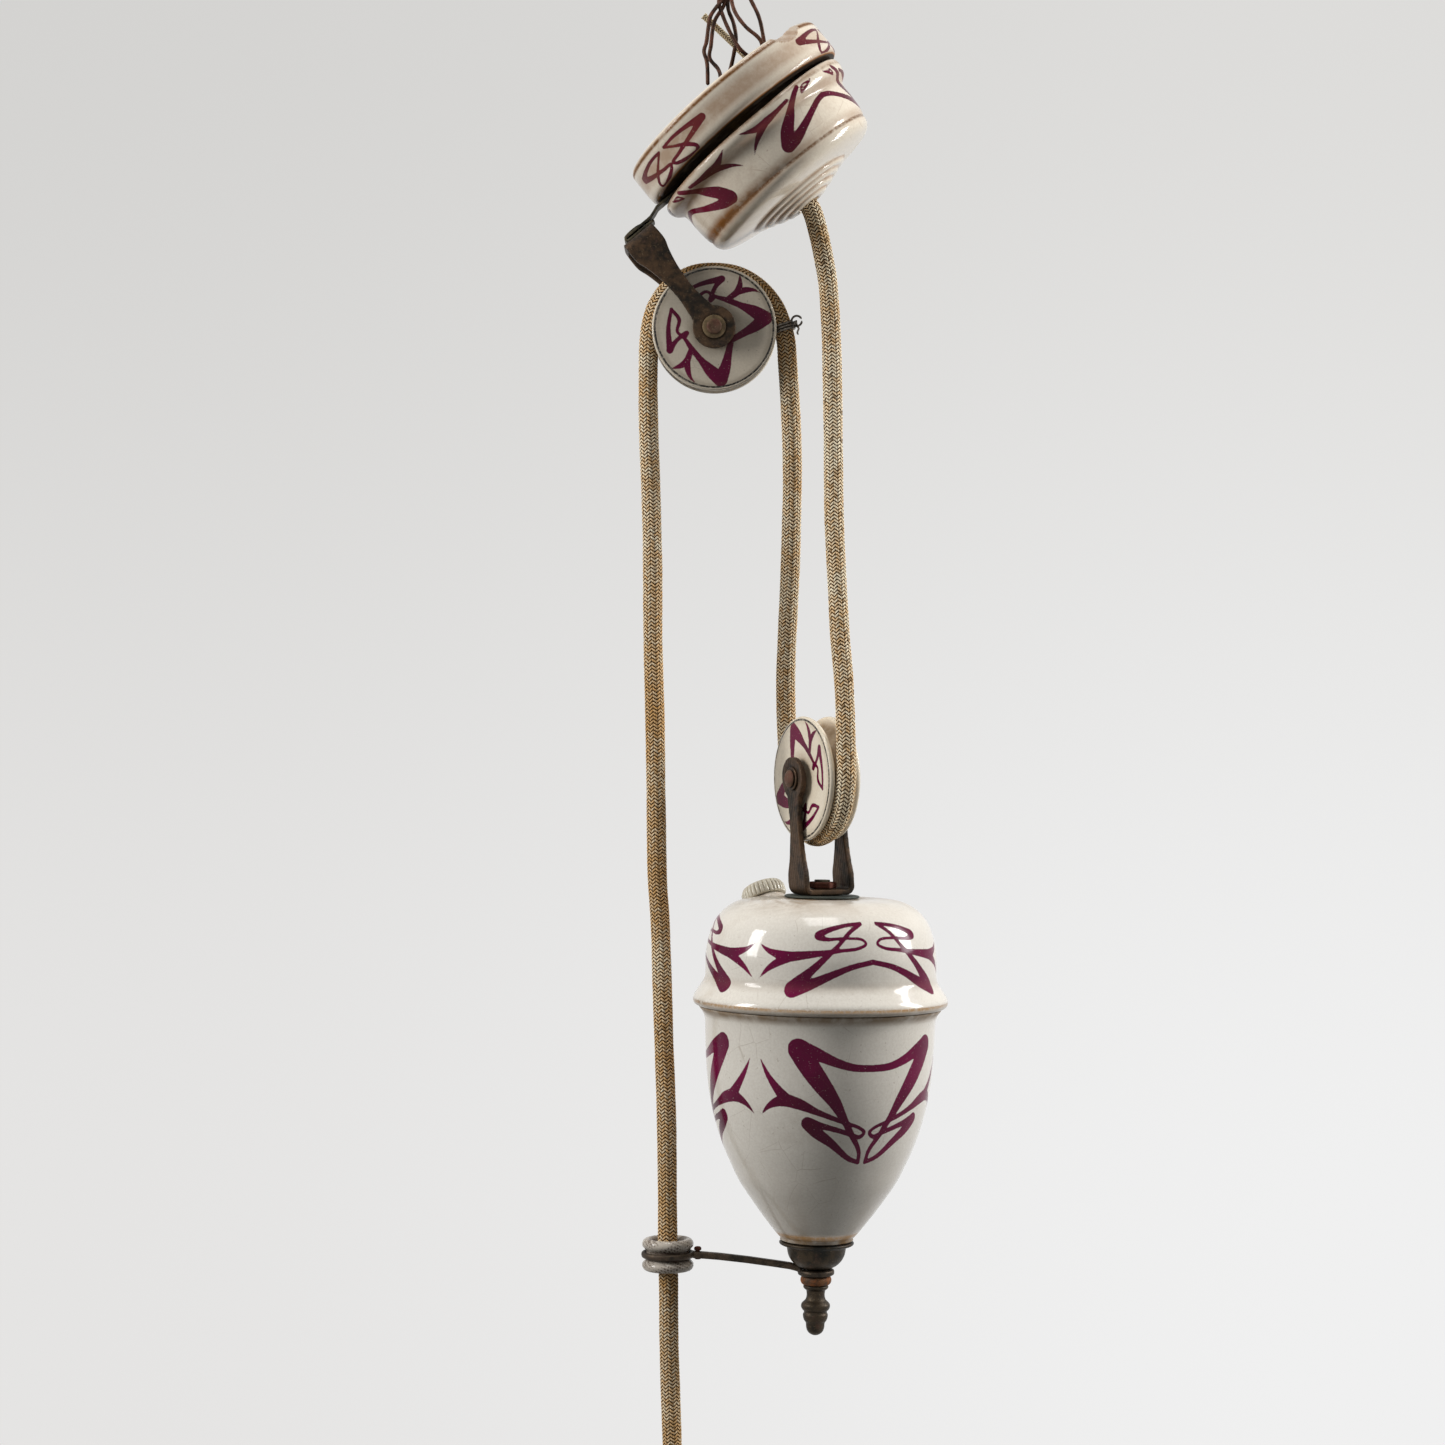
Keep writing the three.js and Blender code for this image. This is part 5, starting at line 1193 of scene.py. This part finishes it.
# The arm is a loop in the ring's groove, an eye under the cup and a strip between them, forged into one.
def makeGuideArm():
    s, centre = armSettings, guideSettings["centre"]
    wire = [(s["loop"] + s["loopWide"] * (1 - math.cos(a)), s["loopHigh"] * math.sin(a))
            for a in np.linspace(0, 2 * math.pi, 20)[:-1]]
    loop = spun("armLoop", wire, 96, at(*centre), closed=True)
    eye = spun("armEye", closedLine(eyeOutline, 0.4), 72, at(*s["eye"]), closed=True)
    first, last = centre[0] + s["first"], s["eye"][0] - s["last"]
    t = np.linspace(0, 1, 110)
    path = np.stack([first + (last - first) * t, 0 * t, centre[2] - np.interp(t, *s["drop"])], axis=1)
    width = s["width"] + 0.35 * np.exp(-(t * 9) ** 2) - 0.15 * t + 0.05 * wave(t * 60, 1.0, 17, 7)
    strip = bentBar("armStrip", path, width, s["thick"], (0, 1, 0), Matrix.Identity(4), edge=s["edge"])
    arm = joinedAs("guideArm", [loop, eye, strip])
    forged = arm.modifiers.new("forged", "REMESH")
    forged.mode = "VOXEL"
    forged.voxel_size = s["voxel"]
    forged.use_smooth_shade = True
    softened = arm.modifiers.new("softened", "SMOOTH")
    softened.factor = 0.5
    softened.iterations = 4
    finished(arm, "weight_frame", "aged_bronze", "armSteel", "guide_arm")
    makeTurned("armRivet", pinOutline, at(centre[0] + s["rivet"], 0, centre[2]), "weight_frame", "rusty_iron",
               "rustedIron", "arm_rivet", step=0.25, steps=40, rounding=5, closed=False,
               shape=lambda p: sixSided(p, 1.3))


makeGuideRing()
makeGuideArm()
print("guide made")

bareWires = [
    [(-3.4, 0.4, -63), (-5.2, 0, -69), (-8.1, -1.4, -73), (-11, -2, -77.5), (-12, -2.4, -83),
     (-12.8, -2.4, -89.2), (-13.9, -2.4, -93.3), (-12.6, -2.2, -98.2), (-12.2, -2, -108.6)],
    [(-3.6, 0.4, -65), (-5, 1, -71.9), (-9.2, 1.2, -79.1), (-10.8, 1.4, -89.9), (-11.4, 1.6, -95.5),
     (-7.6, 1.4, -100.5), (-6.5, 0, -104.3), (-6.1, -2, -117.3), (-6.6, -2, -137.5)],
    [(-3.8, 0.4, -64), (-7.2, 0, -69.9), (-5.4, -0.8, -77.1), (-1.8, -0.8, -85.2), (2.3, -0.6, -91.9),
     (7.5, 3, -96), (8, 14, -99), (3.2, 29, -105.8), (6.6, 31, -113.8)],
    [(-3.2, 0.6, -64), (-3, 1.6, -73.5), (-0.8, 3, -79), (0.5, 4.4, -86), (-0.4, 5.6, -92.4),
     (-2.4, 10, -99.8), (-7.4, 20, -109.5), (-11.4, 30, -116.5), (-5.9, 31, -124.3)],
    [(-2.6, 0, -64), (-0.2, -2, -75.1), (4.7, -3, -82.3), (11.4, -2, -88.3), (13, -1, -96), (14, -2, -107),
     (16.7, -4, -118.3)],
    [(-1.6, 0.6, -60), (4.4, 1.2, -64), (7.4, 1.2, -69.9), (10.8, 1.4, -77.1), (12.8, 2, -86),
     (14.2, 3, -97.5), (16.7, 4, -118.3)],
]
insulatedLead = [(-14.2, 3.6, -75.9), (-9.4, 4.8, -80.1), (-4.2, 6.4, -84.7), (1.2, 9, -89.4),
                 (5.6, 12.4, -94.4), (-1, 22, -102.4), (-4, 30, -110.5), (0.3, 31, -118.9)]
eyeSettings = {"centre": (7, 0, -35.9), "radius": 4.6, "wire": 1.05, "strand": 0.9, "stemWire": 1.15,
               "stemDrop": 24.6, "stemDrift": 10.6, "twists": 3.2}
leadSettings = {"radius": 1.38, "relief": 0.12, "step": 0.35, "pitch": 1.1, "around": 32, "columns": 4,
                "slope": 0.8, "frayed": 1.5}
hookSettings = {"radius": 2.2, "top": -3.3, "neck": -9.3, "shank": -23.3, "bend": 7, "tip": (14.8, 0, -17.3)}


def circlePath(centre, radius, across, up, turns=1.0, climb=0.0, count=48):
    angle = np.linspace(0, 2 * math.pi * turns, int(count * turns) + 1)[:, None]
    across, up = np.array(across, float), np.array(up, float)
    rise = climb * np.linspace(-0.5, 0.5, len(angle))[:, None] * np.cross(across, up)
    return np.array(centre, float) + radius * np.cos(angle) * across + radius * np.sin(angle) * up + rise


def makeWires():
    s = eyeSettings
    x, y, z = s["centre"]
    strands = [wire(f"strand{k}", points, s["strand"], step=0.6, seed=k, uneven=0.08)
               for k, points in enumerate(bareWires)]
    strands.append(wire("eye", circlePath(s["centre"], s["radius"], (0, 1, 0), (0, 0, 1)), s["wire"], seed=7))
    down = np.linspace(0, 1, 40)
    for k in range(2):  # the twisted stem under the eye
        stem = np.stack([x - s["stemDrift"] * down ** 1.2, 0 * down, z - s["radius"] - s["stemDrop"] * down],
                        axis=1)
        turn = down * 2 * math.pi * s["twists"] + k * math.pi
        stem += s["wire"] * np.stack([np.cos(turn), np.sin(turn), 0 * turn], axis=1)
        strands.append(wire(f"stem{k}", stem, s["stemWire"], seed=8 + k))
    finished(joinedAs("hangerWires", strands), "rose_assembly", "dark_copper", "copperStrand", "hanger_wires")


def makeLead():
    s = leadSettings
    line = evenly(smoothThrough(insulatedLead), s["step"])
    far = np.arange(len(line)) * s["step"]
    around = np.linspace(0, 1, s["around"], endpoint=False)
    fold = np.abs((around * s["columns"]) % 1 - 0.5) * 2
    crown = np.abs(np.sin(((far / s["pitch"])[:, None] + fold[None, :] * s["slope"]) * math.pi))
    frayed = clamp(1 - far / s["frayed"])[:, None] * 0.12 * (0.5 + np.sin(around * 2 * math.pi * 7))[None, :]
    rings = tubeRings(line, s["radius"] + s["relief"] * crown + frayed, s["around"])
    piece = skin("insulatedLead", rings, along=far / s["pitch"])
    finished(piece, "rose_assembly", "woven_insulation", "leadCotton", "insulated_lead")


def makeHook():
    s = hookSettings
    r, low = s["bend"], s["shank"]
    points = [(0, 0, s["top"]), (0, 0, s["neck"]), (0, 0, low)]
    points += [(r - r * math.cos(a), 0, low - r * math.sin(a)) for a in np.radians(range(30, 181, 30))]
    piece = wire("ceilingHook", points + [s["tip"]], s["radius"], around=28, uneven=0.015)
    finished(piece, "rose_assembly", "dark_iron", "strapIron", "ceiling_hook")


stopSettings = {"centre": (21.6, 0, -217.3), "lean": 19, "coil": 5.0, "turns": 3.3, "climb": -4.2,
                "wire": 0.55, "eye": 2.3, "eyeOut": 6.9, "eyeUp": 0.9, "knot": 0.9, "knotOut": 5.9,
                "thin": 0.5, "tailWire": 0.45, "tail": [(5.6, -0.6, 0), (6.6, -2.6, -1.2), (5.3, -4.4, -2.2),
                                                        (5.4, -5.6, -2.4)]}


def makeStop():
    s = stopSettings
    centre, lean = np.array(s["centre"]), math.radians(s["lean"])
    axis = np.array((-math.sin(lean), 0, math.cos(lean)))
    across, back = np.array((math.cos(lean), 0, math.sin(lean))), np.array((0.0, 1.0, 0.0))
    coil = circlePath(centre, s["coil"], across, back, turns=s["turns"], climb=s["climb"])
    eyeCentre = centre + across * s["eyeOut"] + axis * s["eyeUp"]
    eye = circlePath(eyeCentre, s["eye"], across, axis, turns=0.96)
    knot = circlePath(centre + across * s["knotOut"], s["knot"], back, axis, turns=2.4, climb=1.6)
    tail = [centre + across * out + axis * up + back * behind for out, up, behind in s["tail"]]
    parts = [wire("stopTurns", coil, s["wire"], around=10, seed=1),
             wire("stopEye", eye, s["thin"], around=10, seed=2), wire("stopKnot", knot, s["thin"], seed=3),
             wire("stopTail", tail, s["tailWire"], around=10, seed=4)]
    finished(joinedAs("stopWire", parts), "cord_stop", "dark_iron", "stopSteel", "stop_wire")


makeWires()
makeLead()
makeHook()
makeStop()
print("wires bent")

gripSettings = {"length": 24, "radius": 11, "bore": 5.0, "nut": 10, "flange": 16}


def makeLampEnd():
    s = gripSettings
    low, r = -s["length"], s["radius"]
    bell = [(s["bore"], 0), (5.7, 0.1), (6.2, -0.8), (6.4, -3), (6.5, -5.4), (7.2, -7.2), (8.4, -10),
            (9.2, -13), (10.4, -15.2), (r, -17.2), (r, -19), (10.6, -20), (10.9, -21), (r, low + 1.4),
            (10.6, low + 0.3), (10, low)]
    inside = [(5.4, low), (5.4, low + 4), (s["bore"], low + 4)]
    makeTurned("cordGrip", np.vstack([smoothThrough(bell), inside]), gripPlace, "lamp_end", "aged_bronze",
               "finialBronze", "lamp_cord_grip", step=0.5, steps=96, crease=50)
    nut = [(5.4, low - 0.3), (9.2, low - 0.3), (s["nut"], low - 1), (s["nut"], low - 6.6), (9.2, low - 7.3),
           (5.4, low - 7.3)]
    makeTurned("gripNut", nut, gripPlace, "lamp_end", "old_brass", "innerBrass", "lamp_grip_nut", step=0.5,
               steps=144, shape=lambda p: sixSided(p, 6.5, 0.1), crease=40)
    tube = low - 7.6
    flange = [(3.4, low + 3.7), (5, low + 3.7), (5, tube + 0.2), (6, tube), (14.6, tube), (15.6, tube - 0.5),
              (s["flange"], tube - 1.4), (15.9, tube - 2.3), (15.4, tube - 3), (3.4, tube - 3)]
    makeTurned("lampFlange", flange, gripPlace, "lamp_end", "old_brass", "innerBrass", "lamp_flange",
               step=0.5, steps=120, crease=50)


# CAD nodes that keep their shape and only get a finish.
dressed = {
    "strapIron": ("ceiling_plate", "ring_bolt_left", "ring_bolt_right", "ring_nut_left", "ring_nut_right",
                  "clamp_screw", "tie_rod"),
    "innerBrass": ("centre_nipple", "nipple_nut", "clamp_collar", "upper_pulley_bush", "lower_pulley_bush"),
    "blockGlaze": ("terminal_block",),
    "copperStrand": ("core_live", "core_neutral"),
    "castBallast": ("ballast",),
}


def dressNodes():
    for finish, names in dressed.items():
        for name in names:
            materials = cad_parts[name].data.materials
            materials.clear()
            materials.append(finishes[finish])


makeLampEnd()
dressNodes()
print("lamp end and inner pieces dressed")

stageSettings = {"wall": 2.3, "floor": -1.5, "width": 9.0, "front": -4.5, "top": 3.0, "cove": 0.35,
                 "paper": (128, 128, 126), "roughness": 0.9, "fadeAcross": (-0.85, 0.8),
                 "fadeUp": (-1.0, 0.55), "low": ((229, 228, 227), (240, 240, 240)),
                 "high": ((212, 211, 209), (221, 220, 218))}
lampSettings = {
    "softboxLeft": {"place": (-1.2, -0.34, 0.02), "aim": (0, 0, -0.42), "size": (0.34, 0.7), "power": 13.0},
    "softboxRight": {"place": (1.24, 0.1, 0.02), "aim": (0, 0, -0.42), "size": (0.34, 0.7), "power": 17.0},
    "overhead": {"place": (0.05, -0.4, 1.15), "aim": (0, 0, -0.3), "size": (0.7, 0.7), "power": 13.0},
}
roomSettings = {"colour": (232, 232, 231), "light": 0.18, "seen": 0.82}


# A floor that curves up into a wall. It shows pale colours, lighter towards the bottom and the right as
# painted light, and lights the object as grey paper.
def makeStage():
    s = stageSettings
    arc = [(s["wall"] - s["cove"] + s["cove"] * math.sin(a), s["floor"] + s["cove"] * (1 - math.cos(a)))
           for a in np.linspace(0, math.pi / 2, 9)]
    side = [(s["front"], s["floor"]), *arc, (s["wall"], s["top"])]
    bm = bmesh.new()
    points = [bm.verts.new((-s["width"] / 2, y, z)) for y, z in side]
    edges = [bm.edges.new(pair) for pair in zip(points, points[1:])]
    made = bmesh.ops.extrude_edge_only(bm, edges=edges)["geom"]
    moved = [v for v in made if isinstance(v, bmesh.types.BMVert)]
    bmesh.ops.translate(bm, verts=moved, vec=(s["width"], 0, 0))
    mesh = bpy.data.meshes.new("backdrop")
    bm.to_mesh(mesh)
    bm.free()
    mesh.shade_smooth()
    backdrop = bpy.data.objects.new("backdrop", mesh)
    scene.collection.objects.link(backdrop)
    material = bpy.data.materials.new("palePaper")
    material.use_nodes = True
    nodes = nodeTools(material.node_tree)
    shader = nodes.tree.nodes["Principled BSDF"]
    shader.inputs["Roughness"].default_value = s["roughness"]
    shader.inputs["Base Color"].default_value = colour(*s["paper"])
    parts = nodes.make("SeparateXYZ", {0: nodes.make("TexCoord").outputs["Object"]}).outputs
    across, up = nodes.ease(parts[0], *s["fadeAcross"]), nodes.ease(parts[2], *s["fadeUp"])
    low, high = (nodes.mixed(across, colour(*left), colour(*right)) for left, right in (s["low"], s["high"]))
    seen = nodes.make("Emission", {"Color": nodes.mixed(up, low, high), "Strength": 1.0})
    both = nodes.make("MixShader", {0: nodes.seenRays(), 1: shader.outputs[0], 2: seen.outputs[0]})
    nodes.give(nodes.tree.nodes["Material Output"].inputs, {"Surface": both.outputs[0]})
    mesh.materials.append(material)


def makeLight():
    for name, s in lampSettings.items():
        data = bpy.data.lights.new(name, "AREA")
        data.shape = "RECTANGLE"
        data.size, data.size_y = s["size"]
        data.energy = s["power"]
        lamp = bpy.data.objects.new(name, data)
        lamp.location = s["place"]
        lamp.rotation_euler = (Vector(s["aim"]) - Vector(s["place"])).to_track_quat("-Z", "Y").to_euler()
        scene.collection.objects.link(lamp)
    scene.world = bpy.data.worlds.new("room")
    scene.world.use_nodes = True
    nodes = nodeTools(scene.world.node_tree)
    ground = nodes.tree.nodes["Background"].inputs
    ground["Color"].default_value = colour(*roomSettings["colour"])
    strength = nodes.plus(nodes.times(nodes.seenRays(), roomSettings["seen"]), roomSettings["light"])
    nodes.give(ground, {"Strength": strength})
    scene.view_settings.view_transform = "Standard"


makeStage()
makeLight()
print("stage lit")
